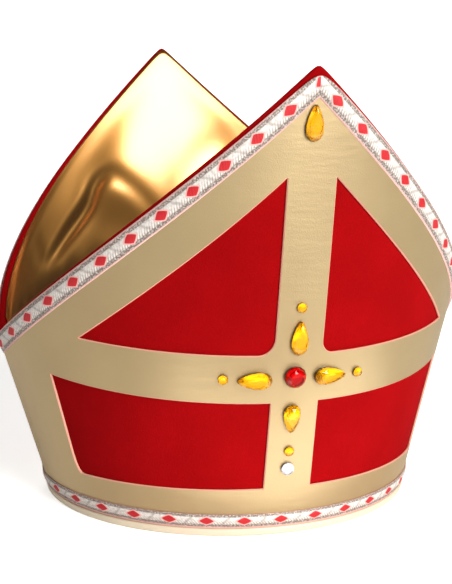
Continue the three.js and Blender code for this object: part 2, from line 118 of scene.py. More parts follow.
def face_point(side, across, z):
    """Outer face of a shield in mm: across runs from -1 at the left seam to 1 at the right."""
    across, z = np.broadcast_arrays(np.asarray(across, float), np.asarray(z, float))
    turn = side["turn"]
    rise = z / UPPER_Z
    bowed = rise + side["bow"] * rise * (rise - 1)
    low_x = RIM_HALF_WIDTH * np.sin(np.pi / 2 * across)
    low_y = RIM_HALF_DEPTH * np.cos(np.pi / 2 * across)
    high_x = UPPER_HALF_WIDTH * np.sin(turn * across) / math.sin(turn)
    high_y = side["depth"] * (np.cos(turn * across) - math.cos(turn)) / (1 - math.cos(turn))
    x = mix(low_x, high_x, rise)
    y = side["facing"] * mix(low_y, high_y, bowed)
    return np.stack([x, y, z], axis=-1)


def face_normal(side, across, z):
    """Direction out of a shield's face."""
    along = face_point(side, across + 2 * ACROSS_STEP, z) - face_point(side, across - 2 * ACROSS_STEP, z)
    rising = face_point(side, across, z + 1) - face_point(side, across, z - 1)
    normal = -side["facing"] * np.cross(along, rising)
    return normal / np.linalg.norm(normal, axis=-1, keepdims=True)


def layer_point(side, across, z, distance):
    """Point at a distance outside the face, at the same height, mitred in the seams' plane."""
    across, z, distance = np.broadcast_arrays(
        np.asarray(across, float), np.asarray(z, float), np.asarray(distance, float)
    )
    point = face_point(side, across, z)
    normal = face_normal(side, across, z)
    level = normal[..., :2]
    moved = point.copy()
    moved[..., :2] += level * (distance / (level ** 2).sum(axis=-1))[..., None]
    outward = np.maximum(moved[..., 1] * side["facing"], SEAM_GAP / 2)
    at_seam = np.abs(across) > 1 - 1e-6
    moved[..., 0] = np.where(at_seam, point[..., 0] + distance / normal[..., 0], moved[..., 0])
    moved[..., 1] = side["facing"] * np.where(at_seam, SEAM_GAP / 2, outward)
    return moved


def arc_at(side, across, z):
    """Arc length in mm from the middle line to a place on the face, at one height."""
    across, z = np.broadcast_arrays(np.asarray(across, float), np.asarray(z, float))
    shares = np.linspace(0, 1, ARC_STEPS + 1)
    points = face_point(side, across[..., None] * shares, z[..., None])
    lengths = np.linalg.norm(np.diff(points, axis=-2), axis=-1).sum(axis=-1)
    return np.sign(across) * lengths


def across_at(side, arc, z):
    """The way back from arc length to the place across the face."""
    arc, z = np.broadcast_arrays(np.asarray(arc, float), np.asarray(z, float))
    across = arc / arc_at(side, np.ones_like(z), z)
    for _ in range(ARC_CORRECTIONS):
        step = face_point(side, across + ACROSS_STEP, z) - face_point(side, across - ACROSS_STEP, z)
        pace = np.linalg.norm(step, axis=-1) / (2 * ACROSS_STEP)
        across = across + (arc - arc_at(side, across, z)) / pace
    return across


UPPER_HALF_ARC = float(arc_at(FRONT, 1, UPPER_Z))
SLOPE_DROP = PEAK_Z - SEAM_TOP_Z


def slope_steepness(across, tip_half_width=0.0):
    """Fall of the velvet edge for each mm along the face."""
    part = np.hypot(arc_at(FRONT, across, UPPER_Z), tip_half_width) / UPPER_HALF_ARC
    return SLOPE_DROP / UPPER_HALF_ARC * (1 + SLOPE_SWELL * (1 - 2 * part))


def slope_height(across, below=0.0, tip_half_width=TIP_HALF_WIDTH):
    """Height of the velvet edge, rounded over the tip, less a width square to it."""
    steepness = slope_steepness(across, tip_half_width)
    part = np.hypot(arc_at(FRONT, across, UPPER_Z), tip_half_width) / UPPER_HALF_ARC
    edge = PEAK_Z - SLOPE_DROP * (part + SLOPE_SWELL * part * (1 - part))
    return edge - below * np.hypot(1, steepness)


def stations(count):
    """Places across a shield, closer together beside its peak and exact at both ends."""
    even = np.linspace(-1, 1, count)
    tips = across_at(FRONT, np.array([*BESIDE_PEAK, *[-arc for arc in BESIDE_PEAK]]), UPPER_Z)
    return np.unique(np.round(np.concatenate([even, tips]), 6))


def linear(code):
    """sRGB hex colour as the linear values that shaders take."""
    values = [int(code[i:i + 2], 16) / 255 for i in (0, 2, 4)]
    return (*[v / 12.92 if v <= 0.04045 else ((v + 0.055) / 1.055) ** 2.4 for v in values], 1.0)


def add_node(tree, kind, inputs=None, **settings):
    """Adds a node with its settings. An input, by name or number, is a value, a socket or the
    node that feeds it. Inputs 1 to 4 of a Map Range are the ends that it maps from and to."""
    made = tree.nodes.new(kind)
    for name, value in settings.items():
        setattr(made, name, value)
    for key, value in (inputs or {}).items():
        if isinstance(value, bpy.types.Node):
            value = value.outputs[0]
        if isinstance(value, bpy.types.NodeSocket):
            tree.links.new(value, made.inputs[key])
        else:
            made.inputs[key].default_value = value
    return made


def new_material(name):
    """Material with an empty node tree, and that tree."""
    material = bpy.data.materials.new(name)
    material.use_nodes = True
    material.node_tree.nodes.clear()
    return material, material.node_tree


def make_piece(
    name, points_mm, faces, materials, uvs=None, face_materials=None, smooth=True, crease=None
):
    """Mesh object from points in mm about the rim's middle, riding on the mitre's one body."""
    points = np.asarray(points_mm, float).reshape(-1, 3) / 1000
    points[:, 1] += RIM_MIDDLE_Y
    mesh = bpy.data.meshes.new(name)
    mesh.from_pydata(points.tolist(), [], faces)
    for material in materials:
        mesh.materials.append(material)
    if uvs is not None:
        layer = mesh.uv_layers.new(name="woven_repeat")
        corners = np.zeros(len(mesh.loops), dtype=np.int32)
        mesh.loops.foreach_get("vertex_index", corners)
        layer.data.foreach_set("uv", np.asarray(uvs, np.float32).reshape(-1, 2)[corners].ravel())
    if face_materials is not None:
        mesh.polygons.foreach_set("material_index", np.asarray(face_materials, np.int32))
    mesh.polygons.foreach_set("use_smooth", np.full(len(mesh.polygons), smooth))
    mesh.validate()
    mesh.update()
    if crease:
        mesh.set_sharp_from_angle(angle=math.radians(crease))
    piece = bpy.data.objects.new(name, mesh)
    bpy.context.scene.collection.objects.link(piece)
    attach(piece, "root")
    return piece


def loft_faces(sections, around, ring=False):
    """Quads that join closed sections of as many points each, with capped ends unless a ring."""
    i, j = np.meshgrid(np.arange(sections if ring else sections - 1), np.arange(around), indexing="ij")
    following, beside = (i + 1) % sections, (j + 1) % around
    quads = np.stack([
        i * around + j, following * around + j, following * around + beside, i * around + beside,
    ], axis=-1).reshape(-1, 4).tolist()
    if not ring:
        last = (sections - 1) * around
        quads.append(list(range(around)))
        quads.append([last + k for k in reversed(range(around))])
    return quads


def facing_out(points, faces):
    """The same faces, turned if they enclose a negative volume."""
    points = np.asarray(points, float).reshape(-1, 3)
    volume = 0.0
    for size in {len(face) for face in faces}:
        some = np.array([face for face in faces if len(face) == size])
        for k in range(1, size - 1):
            a, b, c = points[some[:, 0]], points[some[:, k]], points[some[:, k + 1]]
            volume += np.einsum("ij,ij->i", a, np.cross(b, c)).sum()
    return faces if volume > 0 else [face[::-1] for face in faces]


# Standing pile swallows the light, so the velvet is a deep, matt red. It is a little lighter
# where the pile leans over, and its edges catch a faint rim of light.
velvet, tree = new_material("short_pile_red_velvet")
place = add_node(tree, "ShaderNodeTexCoord")
pile_sway = add_node(
    tree, "ShaderNodeTexNoise",
    {"Vector": place.outputs["Object"], "Scale": 1000 / PILE_SWAY_MM, "Detail": 4.0},
)
pile_tips = add_node(
    tree, "ShaderNodeTexNoise",
    {"Vector": place.outputs["Object"], "Scale": 1000 / PILE_TUFT_MM, "Detail": 2.0},
)
crush = add_node(
    tree, "ShaderNodeMapRange", {0: pile_sway.outputs["Fac"], 1: 0.35, 2: 0.68, 3: 0.0, 4: 1.0},
)
ground = add_node(
    tree, "ShaderNodeMix",
    {"Factor": crush, 6: linear(VELVET_DARK_RED), 7: linear(VELVET_RED)}, data_type="RGBA",
)
lifted = add_node(tree, "ShaderNodeBump", {"Height": pile_tips, "Strength": 0.35, "Distance": 0.0004})
cloth = add_node(tree, "ShaderNodeBsdfPrincipled", {
    "Base Color": ground.outputs[2],
    "Roughness": 0.9,
    "Specular IOR Level": 0.03,
    "Sheen Weight": 0.2,
    "Sheen Roughness": 0.5,
    "Sheen Tint": linear(VELVET_LIGHT_RED),
    "Normal": lifted,
})
add_node(tree, "ShaderNodeOutputMaterial", {"Surface": cloth})

SHIELD_COLUMNS = 181
OUTER_ROWS = 26
EDGE_TURNS = 7
INNER_ROWS = 14

for side in SIDES:
    across = stations(SHIELD_COLUMNS)
    top = slope_height(across)
    radius = BOARD_THICKNESS / 2
    drop = radius * np.hypot(1, slope_steepness(across))
    outer_rise = np.linspace(0, 1, OUTER_ROWS)
    turn = np.linspace(0, np.pi, EDGE_TURNS + 2)[1:-1]
    inner_rise = np.linspace(1, 0, INNER_ROWS)
    heights = [mix(BOARD_FOOT_Z, top - drop, part) for part in outer_rise]
    depths = [0.0] * OUTER_ROWS
    heights += [top - drop + drop * math.sin(angle) for angle in turn]
    depths += [-radius * (1 - math.cos(angle)) for angle in turn]
    heights += [mix(BOARD_FOOT_Z, top - drop, part) for part in inner_rise]
    depths += [-BOARD_THICKNESS] * INNER_ROWS
    rows = [layer_point(side, across, z, depth) for z, depth in zip(heights, depths)]
    points = np.stack(rows, axis=1)
    faces = facing_out(points, loft_faces(len(across), len(rows)))
    shield = make_piece(side["name"] + "_velvet_shield", points, faces, [velvet])
    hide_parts(side["name"] + "_shield")

# Gold panels
# Gold leatherette about 1 mm thick, cut out in four windows that leave a cross and a border,
# and glued on the velvet. The cut edges of the windows show a pale salmon line.
GOLD_IN = 0.3
GOLD_OUT = 1.3
GOLD_FOOT_Z = 3.5
GOLD_TOP_REVEAL = 3
BRAID_TIP_HALF_WIDTH = 4
CUT_EDGE = 0.45
BAND_HALF_WIDTH = 12.7
LOWER_WINDOW = {"bottom": 26.2, "bottom_rise": -0.85, "top": 72.8, "top_rise": 3.2}
LOWER_OUTER_EDGE = {"arc_low": 116.5, "z_low": 30, "arc_high": 136.4, "z_high": 90}
UPPER_WINDOW = {"bottom": 98.2, "bottom_rise": 2.9, "peak": 199.8, "seam": 56, "swell": 0.29}
RISE_ARC = 100
UPPER_CORNER_RADIUS = {"left": 8.5, "right": 6.0}
LOWER_WINDOW_ROUNDING = {"left": 12, "right": 1.5}
OUTLINE_PACE = 1.5
PANEL_PACE = 5.0
PANEL_MARGIN = 1.5
SEAM_ROWS = 14
TOP_COLUMNS = 121
FOOT_COLUMNS = 70
WINDOW_REACH = 200
WINDOW_TRIES = 1500
WINDOW_COLUMNS = 60
UPPER_WINDOW_BUNCHING = 1.6
LEATHERETTE_GOLD = "c7ad7b"
LEATHERETTE_DEEP_GOLD = "bea373"
COATING_CREAM = "fff6e6"
CUT_EDGE_SALMON = "e8a58c"
LEATHER_GRAIN_MM = 0.6
TONE_MM = 45.5
RIPPLE_LENGTH_MM = 18.2
RIPPLE_WIDTH_MM = 4.2
# The backing's threads are about 0.3 mm wide, and are drawn 1.1 mm wide so that they show.
FIBRE_MM = 1.1


def upper_window_edges(hand, facing):
    """Lower and upper edge heights of an upper window, by arc length from the middle line."""
    radius = UPPER_CORNER_RADIUS["left" if hand * -facing < 0 else "right"]

    def lower(arc):
        inside = np.maximum(radius - (arc - BAND_HALF_WIDTH), 0)
        corner = radius - np.sqrt(np.maximum(radius ** 2 - inside ** 2, 0))
        return UPPER_WINDOW["bottom"] + UPPER_WINDOW["bottom_rise"] * (arc / RISE_ARC) ** 2 + corner

    def upper(arc):
        across = across_at(FRONT, arc, lower(arc))
        part = arc_at(FRONT, across, UPPER_Z) / UPPER_HALF_ARC
        fall = UPPER_WINDOW["peak"] - UPPER_WINDOW["seam"]
        return UPPER_WINDOW["peak"] - fall * (part + UPPER_WINDOW["swell"] * part * (1 - part))

    return lower, upper


def lower_window_edges(hand, facing):
    """The same for a lower window, whose outer edge leans out with the seam."""
    edge = LOWER_OUTER_EDGE
    steepness = (edge["z_high"] - edge["z_low"]) / (edge["arc_high"] - edge["arc_low"])
    rounding = LOWER_WINDOW_ROUNDING["left" if hand * -facing < 0 else "right"]

    def upper(arc):
        return LOWER_WINDOW["top"] + LOWER_WINDOW["top_rise"] * (arc / RISE_ARC) ** 2

    def lower(arc):
        floor = LOWER_WINDOW["bottom"] + LOWER_WINDOW["bottom_rise"] * (arc / RISE_ARC) ** 2
        outer = edge["z_low"] + (arc - edge["arc_low"]) * steepness
        blend = np.maximum(rounding - np.abs(floor - outer), 0) ** 2 / (4 * rounding)
        return np.maximum(floor, outer) + blend

    return lower, upper


def even_loop(points, pace):
    """Closed outline with points about a pace apart, its corners kept."""
    kept = []
    for a, b in zip(points, np.roll(points, -1, axis=0)):
        count = max(1, round(float(np.hypot(*(b - a))) / pace))
        kept += [mix(a, b, k / count) for k in range(count)]
    return np.array(kept)


def window_outline(hand, facing, edges):
    """Anticlockwise outline of one window in arc length and height."""
    lower, upper = edges(hand, facing)
    reach = np.linspace(BAND_HALF_WIDTH, WINDOW_REACH, WINDOW_TRIES)
    end = reach[np.argmax(upper(reach) <= lower(reach))]
    shares = np.linspace(0, 1, WINDOW_COLUMNS)
    if edges is upper_window_edges:
        shares = shares ** UPPER_WINDOW_BUNCHING
    arcs = mix(BAND_HALF_WIDTH, end, shares)
    low = np.stack([arcs, lower(arcs)], axis=-1)
    high = np.stack([arcs, np.maximum(upper(arcs), lower(arcs))], axis=-1)[::-1][1:]
    outline = np.concatenate([low, high])
    outline[:, 0] *= hand
    return outline if hand > 0 else outline[::-1]


def loop_normals(loop):
    """Unit directions out of an anticlockwise outline."""
    along = np.roll(loop, -1, axis=0) - np.roll(loop, 1, axis=0)
    out = np.stack([along[:, 1], -along[:, 0]], axis=-1)
    return out / np.maximum(np.linalg.norm(out, axis=-1, keepdims=True), 1e-9)


def inside_loop(places, loop):
    """Which places lie inside a closed outline."""
    x, y = places[:, 0][:, None], places[:, 1][:, None]
    a, b = loop, np.roll(loop, -1, axis=0)
    spans = (a[:, 1] > y) != (b[:, 1] > y)
    slope = np.where(np.abs(b[:, 1] - a[:, 1]) < 1e-12, 1e-12, b[:, 1] - a[:, 1])
    crossing = a[:, 0] + (y - a[:, 1]) / slope * (b[:, 0] - a[:, 0])
    return (spans & (x < crossing)).sum(axis=1) % 2 == 1


# Leatherette is vinyl with metal flake under a clear skin: a soft gold sheen over a fine grain,
# with faint level ripples where it is stretched round the board.
leatherette, tree = new_material("gold_leatherette")
place = add_node(tree, "ShaderNodeTexCoord")
cloudy = add_node(
    tree, "ShaderNodeTexNoise",
    {"Vector": place.outputs["Object"], "Scale": 1000 / TONE_MM, "Detail": 3.0},
)
grain = add_node(
    tree, "ShaderNodeTexVoronoi",
    {"Vector": place.outputs["Object"], "Scale": 1000 / LEATHER_GRAIN_MM, "Randomness": 1.0},
    feature="SMOOTH_F1",
)
tone = add_node(
    tree, "ShaderNodeMapRange", {0: cloudy.outputs["Fac"], 1: 0.3, 2: 0.7, 3: 0.0, 4: 1.0},
)
ground = add_node(
    tree, "ShaderNodeMix",
    {"Factor": tone, 6: linear(LEATHERETTE_DEEP_GOLD), 7: linear(LEATHERETTE_GOLD)}, data_type="RGBA",
)
ripple_scale = (1000 / RIPPLE_LENGTH_MM, 1000 / RIPPLE_LENGTH_MM, 1000 / RIPPLE_WIDTH_MM)
level_place = add_node(
    tree, "ShaderNodeMapping", {"Vector": place.outputs["Object"], "Scale": ripple_scale},
)
ripples = add_node(tree, "ShaderNodeTexNoise", {"Vector": level_place, "Scale": 1.0, "Detail": 2.0})
rippled = add_node(tree, "ShaderNodeBump", {"Height": ripples, "Strength": 0.5, "Distance": 0.0003})
pebbled = add_node(tree, "ShaderNodeBump", {
    "Height": grain, "Strength": 0.25, "Distance": 0.0002, "Normal": rippled,
})
coating = add_node(tree, "ShaderNodeBsdfPrincipled", {
    "Base Color": ground.outputs[2],
    "Metallic": 0.75,
    "Roughness": 0.4,
    "IOR": 1.8,
    "Specular IOR Level": 1.0,
    "Specular Tint": linear(COATING_CREAM),
    "Coat Weight": 0.4,
    "Coat Roughness": 0.36,
    "Coat IOR": 1.7,
    "Normal": pebbled,
})
add_node(tree, "ShaderNodeOutputMaterial", {"Surface": coating})

# The cloth backing shows at a cut edge, matt and fibrous.
cut_edge, tree = new_material("cut_leatherette_edge")
place = add_node(tree, "ShaderNodeTexCoord")
fibre = add_node(
    tree, "ShaderNodeTexNoise", {"Vector": place.outputs["Object"], "Scale": 1000 / FIBRE_MM},
)
rough = add_node(tree, "ShaderNodeBump", {"Height": fibre, "Strength": 0.3, "Distance": 0.0002})
edge_cloth = add_node(tree, "ShaderNodeBsdfPrincipled", {
    "Base Color": linear(CUT_EDGE_SALMON), "Roughness": 0.7, "Normal": rough,
})
add_node(tree, "ShaderNodeOutputMaterial", {"Surface": edge_cloth})

for side in SIDES:
    seam_z = np.linspace(GOLD_FOOT_Z, float(slope_height(1.0, GOLD_TOP_REVEAL)), SEAM_ROWS)
    seam_arc = arc_at(side, np.ones_like(seam_z), seam_z)
    top_across = stations(TOP_COLUMNS)[::-1]
    top_z = slope_height(top_across, GOLD_TOP_REVEAL, BRAID_TIP_HALF_WIDTH)
    top_arc = arc_at(side, top_across, top_z)
    foot_arc = np.linspace(-seam_arc[0], seam_arc[0], FOOT_COLUMNS)
    rim = np.concatenate([
        np.stack([foot_arc, np.full_like(foot_arc, GOLD_FOOT_Z)], axis=-1),
        np.stack([seam_arc, seam_z], axis=-1)[1:-1],
        np.stack([top_arc, top_z], axis=-1),
        np.stack([-seam_arc, seam_z], axis=-1)[::-1][1:-1],
    ])
    windows = []
    for edges in (upper_window_edges, lower_window_edges):
        for hand in (-1, 1):
            windows.append(even_loop(window_outline(hand, side["facing"], edges), OUTLINE_PACE))
    loops = [rim] + [window + loop_normals(window) * CUT_EDGE for window in windows]
    columns = np.arange(-WINDOW_REACH, WINDOW_REACH, PANEL_PACE)
    levels = np.arange(GOLD_FOOT_Z + 2, PEAK_Z, PANEL_PACE)
    field = np.stack(np.meshgrid(columns, levels), axis=-1).reshape(-1, 2)
    shrunk = rim - loop_normals(rim) * PANEL_MARGIN
    keep = inside_loop(field, shrunk)
    for window in windows:
        grown = window + loop_normals(window) * (CUT_EDGE + PANEL_MARGIN)
        keep &= ~inside_loop(field, grown)
    field = field[keep]
    ring_starts = np.cumsum([0] + [len(loop) for loop in loops])
    constraint = []
    for start, loop in zip(ring_starts, loops):
        constraint += [(start + k, start + (k + 1) % len(loop)) for k in range(len(loop))]
    places = np.concatenate(loops + [field])
    flat, _, triangles, origins, _, _ = delaunay_2d_cdt(
        [Vector(p) for p in places.tolist()], constraint, [], 0, 1e-5
    )
    flat = np.array([tuple(p) for p in flat])
    triangles = np.array(triangles)
    middles = flat[triangles].mean(axis=1)
    solid = inside_loop(middles, rim)
    for loop in loops[1:]:
        solid &= ~inside_loop(middles, loop)
    triangles = triangles[solid]
    source = {first: k for k, found in enumerate(origins) for first in found}
    cut = flat.copy()
    for start, loop, window in zip(ring_starts[1:], loops[1:], windows):
        for k in range(len(loop)):
            cut[source[start + k]] = window[k]
    front_across = np.clip(across_at(side, flat[:, 0], flat[:, 1]), -1, 1)
    cut_across = np.clip(across_at(side, cut[:, 0], cut[:, 1]), -1, 1)
    count = len(flat)
    points = np.concatenate([
        layer_point(side, front_across, flat[:, 1], GOLD_OUT),
        layer_point(side, cut_across, cut[:, 1], GOLD_OUT - CUT_EDGE),
        layer_point(side, cut_across, cut[:, 1], GOLD_IN),
    ])
    faces = [list(t) for t in triangles] + [[2 * count + v for v in t[::-1]] for t in triangles]
    face_materials = [0] * len(faces)
    for start, loop in zip(ring_starts, loops):
        ring = [source[start + k] for k in range(len(loop))]
        if loop is not rim:
            ring = ring[::-1]
        for a, b in zip(ring, ring[1:] + ring[:1]):
            faces.append([a, count + a, count + b, b])
            faces.append([count + a, 2 * count + a, 2 * count + b, count + b])
            face_materials += [1, 1]
    order = facing_out(points, faces)
    panel = make_piece(
        side["name"] + "_leatherette_panel", points, order, [leatherette, cut_edge],
        face_materials=face_materials, crease=25,
    )
    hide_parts(side["name"] + "_gold_panel")

# Slope braids
# Silver-white woven braid 10 mm wide with red lozenges every 20 mm, sewn along both slopes of
# a shield and folded into a mitre at the peak. Slanting ribs fill it between corded edges.
BRAID_WIDTH = 10
VELVET_REVEAL = 1.5
BRAID_IN = 1.35
BRAID_GROUND = 1.55
BRAID_CROWN = 0.6
LOZENGE_PITCH = 20.03
FIRST_LOZENGE = {"left": -0.8, "right": 12.6}
BRAID_COLUMNS = 1100
BRAID_ROWS = 25
CENTRE_SHARE = 0.25
CENTRE_RISE = 0.3
# The threads are about 0.3 mm thick. Ribs, netting and tufts are drawn coarser, so that they show.
RIB_PITCH = 1.6
RIB_LEAN = 0.7
GAP_LEAN = 0.8
RIB_RISE = 0.07
CORD_SHARE = 0.46
CORD_RISE = 0.22
LOZENGE_HALF_LENGTH = 3.8
LOZENGE_HALF_WIDTH = 2.5
# The braid on the left slope is pulled a little, which moves its lozenges by up to 2.2 mm.
LEFT_EASE = {"start": 35, "length": 175, "most": 2.2}
LOZENGE_ROUNDNESS = 1.2
LOZENGE_RISE = 0.3
LOZENGE_FULLNESS = 1.1
LEAF_GAP_DEPTH = 0.7
LEAF_GAP_HALF_WIDTH = 0.5
CORD_HALF_WIDTH = 0.4
EDGE_ROUNDING = 0.4
EDGE_TUCK = 0.2
THREAD_WHITE = "f4ece4"
# Taupe is both the netting's own thread and the painted shade in the braid's grooves and on its lower
# half.
THREAD_TAUPE_AND_SHADE = "827166"
THREAD_PINK = "f4bcb4"
THREAD_RED = "cc2028"
NETTING_MM = 0.91
TUFT_MM = 1.43
THREAD_FUZZ_MM = 0.555


def braid_relief(along, offset, width):
    """Height in mm over the braid's ground, by the length along it and the place across it."""
    nearest = (along + LOZENGE_PITCH / 2) % LOZENGE_PITCH - LOZENGE_PITCH / 2
    share = np.abs(offset) / width
    lozenge = (np.abs(nearest) / LOZENGE_HALF_LENGTH) ** LOZENGE_ROUNDNESS
    lozenge += (np.abs(offset) / LOZENGE_HALF_WIDTH) ** LOZENGE_ROUNDNESS
    dome = LOZENGE_RISE * np.sqrt(np.clip(LOZENGE_FULLNESS - lozenge, 0, 1))
    from_gap_middle = along % LOZENGE_PITCH - LOZENGE_PITCH / 2 - GAP_LEAN * offset
    leaf = CENTRE_RISE * np.sqrt(np.clip(1 - (share / CENTRE_SHARE) ** 2, 0, 1))
    leaf *= 1 - LEAF_GAP_DEPTH * np.exp(-(from_gap_middle / LEAF_GAP_HALF_WIDTH) ** 2)
    ribs = RIB_RISE * np.cos(2 * np.pi * (along + RIB_LEAN * offset) / RIB_PITCH)
    cord = CORD_RISE * np.exp(-((share - CORD_SHARE) * width / CORD_HALF_WIDTH) ** 2)
    crown = BRAID_CROWN * (1 - (2 * share) ** 2)
    edge = np.sqrt(np.clip((0.5 - share) * width / EDGE_ROUNDING, 0, 1))
    return (crown + np.maximum(dome, leaf) + ribs + cord) * edge - EDGE_TUCK * (1 - edge)


def braid_piece(name, place_points, along, offset, width, node, ring):
    """Ribbon with its woven relief outside and a flat back, from a function of the distance."""
    relief = BRAID_GROUND + braid_relief(along, offset, width)
    outside = place_points(relief)
    behind = place_points(np.full_like(relief, BRAID_IN))[:, [-1, 0]]
    points = np.concatenate([outside, behind], axis=1)
    back_uv = np.stack([along[:, [-1, 0]], offset[:, [-1, 0]]], axis=-1)
    uvs = np.concatenate([np.stack([along, offset], axis=-1), back_uv], axis=1)
    uvs[..., 0] /= LOZENGE_PITCH
    uvs[..., 1] /= width
    faces = facing_out(points, loft_faces(points.shape[0], points.shape[1], ring))
    piece = make_piece(name, points, faces, [braid_cloth], uvs=uvs)
    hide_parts(node)
    return piece


# Bright rayon thread: white ribs between taupe netting, pink cords along the edges and red
# lozenges with a pink outline. The silvery thread has a slight metal shine. The grooves between
# the ribs and between the leaves are painted taupe as shade, and the lower half of the braid is
# painted darker than the upper half, as painted shade and light from above.
braid_cloth, tree = new_material("woven_silver_white_braid")
repeat = add_node(tree, "ShaderNodeUVMap", uv_map="woven_repeat")
axes = add_node(tree, "ShaderNodeSeparateXYZ", {0: repeat})
from_middle = add_node(tree, "ShaderNodeMath", {0: axes.outputs["X"], 1: 0.5}, operation="PINGPONG")
side_way = add_node(tree, "ShaderNodeMath", {0: axes.outputs["Y"]}, operation="ABSOLUTE")
rounded = []
for way, times in (
    (from_middle, LOZENGE_PITCH / LOZENGE_HALF_LENGTH),
    (side_way, BRAID_WIDTH / LOZENGE_HALF_WIDTH),
):
    share = add_node(tree, "ShaderNodeMath", {0: way, 1: times}, operation="MULTIPLY")
    rounded.append(
        add_node(tree, "ShaderNodeMath", {0: share, 1: LOZENGE_ROUNDNESS}, operation="POWER")
    )
lozenge = add_node(tree, "ShaderNodeMath", {0: rounded[0], 1: rounded[1]}, operation="ADD")
along_mm = add_node(
    tree, "ShaderNodeMath", {0: axes.outputs["X"], 1: LOZENGE_PITCH}, operation="MULTIPLY",
)
across_mm = add_node(
    tree, "ShaderNodeMath", {0: axes.outputs["Y"], 1: BRAID_WIDTH}, operation="MULTIPLY",
)
slanted = add_node(
    tree, "ShaderNodeMath", {0: across_mm, 1: RIB_LEAN, 2: along_mm}, operation="MULTIPLY_ADD",
)
turns = add_node(
    tree, "ShaderNodeMath", {0: slanted, 1: 2 * math.pi / RIB_PITCH}, operation="MULTIPLY",
)
wave = add_node(tree, "ShaderNodeMath", {0: turns}, operation="COSINE")
# The thread is painted taupe in the grooves between the slanting ribs: painted shade where the relief
# dips.
rib_groove_painted_shade = add_node(tree, "ShaderNodeMapRange", {0: wave, 1: -1.0, 2: 0.5, 3: 0.1, 4: 1.0})
# The upper half of the braid is painted whiter and the lower half is left taupe: painted light and shade
# from above on the domed braid.
upper_half_painted_light = add_node(
    tree, "ShaderNodeMapRange", {0: axes.outputs["Y"], 1: -0.22, 2: 0.12, 3: 0.1, 4: 0.8},
)
painted_rib_shade_and_light = add_node(
    tree, "ShaderNodeMath", {0: rib_groove_painted_shade, 1: upper_half_painted_light}, operation="ADD", use_clamp=True,
)
# A slanting line at the middle of each gap between lozenges is painted darker: painted shade in the
# groove between the two leaves.
half_way = add_node(tree, "ShaderNodeMath", {0: axes.outputs["X"], 1: 0.5}, operation="ADD")
gap_slant = add_node(
    tree, "ShaderNodeMath",
    {0: axes.outputs["Y"], 1: -GAP_LEAN * BRAID_WIDTH / LOZENGE_PITCH, 2: half_way},
    operation="MULTIPLY_ADD",
)
gap_away = add_node(tree, "ShaderNodeMath", {0: gap_slant, 1: 0.5}, operation="PINGPONG")
leaf_gap_painted_shade = add_node(tree, "ShaderNodeMapRange", {0: gap_away, 1: 0.01, 2: 0.07, 3: 0.6, 4: 1.0})
mesh_place = add_node(tree, "ShaderNodeCombineXYZ", {0: along_mm, 1: across_mm})
mesh_dots = add_node(
    tree, "ShaderNodeTexNoise", {"Vector": mesh_place, "Scale": 1 / NETTING_MM, "Detail": 1.0},
)
tufts = add_node(
    tree, "ShaderNodeTexNoise", {"Vector": mesh_place, "Scale": 1 / TUFT_MM, "Detail": 3.0},
)
tuft_shade = add_node(
    tree, "ShaderNodeMapRange", {0: tufts.outputs["Fac"], 1: 0.32, 2: 0.58, 3: 0.62, 4: 1.0},
)
# The painted rib shade and light, the random tufts and the painted gap shade together set how much taupe
# shows in the centre band.
tufts_and_painted_shade = add_node(tree, "ShaderNodeMath", {0: painted_rib_shade_and_light, 1: tuft_shade}, operation="MULTIPLY")
stitches_and_painted_shade = add_node(tree, "ShaderNodeMath", {0: tufts_and_painted_shade, 1: leaf_gap_painted_shade}, operation="MULTIPLY")
netting = add_node(
    tree, "ShaderNodeMapRange", {0: mesh_dots.outputs["Fac"], 1: 0.45, 2: 0.68, 3: 0.0, 4: 0.6},
)
centre_edge = add_node(
    tree, "ShaderNodeMapRange",
    {0: side_way, 1: CENTRE_SHARE - 0.03, 2: CENTRE_SHARE + 0.02, 3: 0.0, 4: 1.0},
)
cord_edge = add_node(
    tree, "ShaderNodeMapRange",
    {0: side_way, 1: CORD_SHARE - 0.05, 2: CORD_SHARE - 0.02, 3: 0.0, 4: 0.8},
)
near_lozenge = add_node(
    tree, "ShaderNodeMapRange", {0: lozenge, 1: 1.25, 2: 1.45, 3: 1.0, 4: 0.0},
)
in_lozenge = add_node(
    tree, "ShaderNodeMapRange", {0: lozenge, 1: 0.96, 2: 1.04, 3: 1.0, 4: 0.0},
)
bands = []
for shade in (stitches_and_painted_shade, netting):
    bands.append(add_node(
        tree, "ShaderNodeMix",
        {"Factor": shade, 6: linear(THREAD_TAUPE_AND_SHADE), 7: linear(THREAD_WHITE)}, data_type="RGBA",
    ))
coloured = add_node(
    tree, "ShaderNodeMix",
    {"Factor": centre_edge, 6: bands[0].outputs[2], 7: bands[1].outputs[2]}, data_type="RGBA",
)
for place, thread in (
    (cord_edge, THREAD_PINK), (near_lozenge, THREAD_PINK), (in_lozenge, THREAD_RED),
):
    coloured = add_node(
        tree, "ShaderNodeMix",
        {"Factor": place, 6: coloured.outputs[2], 7: linear(thread)}, data_type="RGBA",
    )
floss = add_node(tree, "ShaderNodeTexCoord")
fuzz = add_node(
    tree, "ShaderNodeTexNoise",
    {"Vector": floss.outputs["Object"], "Scale": 1000 / THREAD_FUZZ_MM, "Detail": 2.0},
)
twisted = add_node(tree, "ShaderNodeBump", {"Height": fuzz, "Strength": 0.4, "Distance": 0.0002})
weave = add_node(tree, "ShaderNodeBsdfPrincipled", {
    "Base Color": coloured.outputs[2], "Roughness": 0.5, "Metallic": 0.15, "Normal": twisted,
})
add_node(tree, "ShaderNodeOutputMaterial", {"Surface": weave})

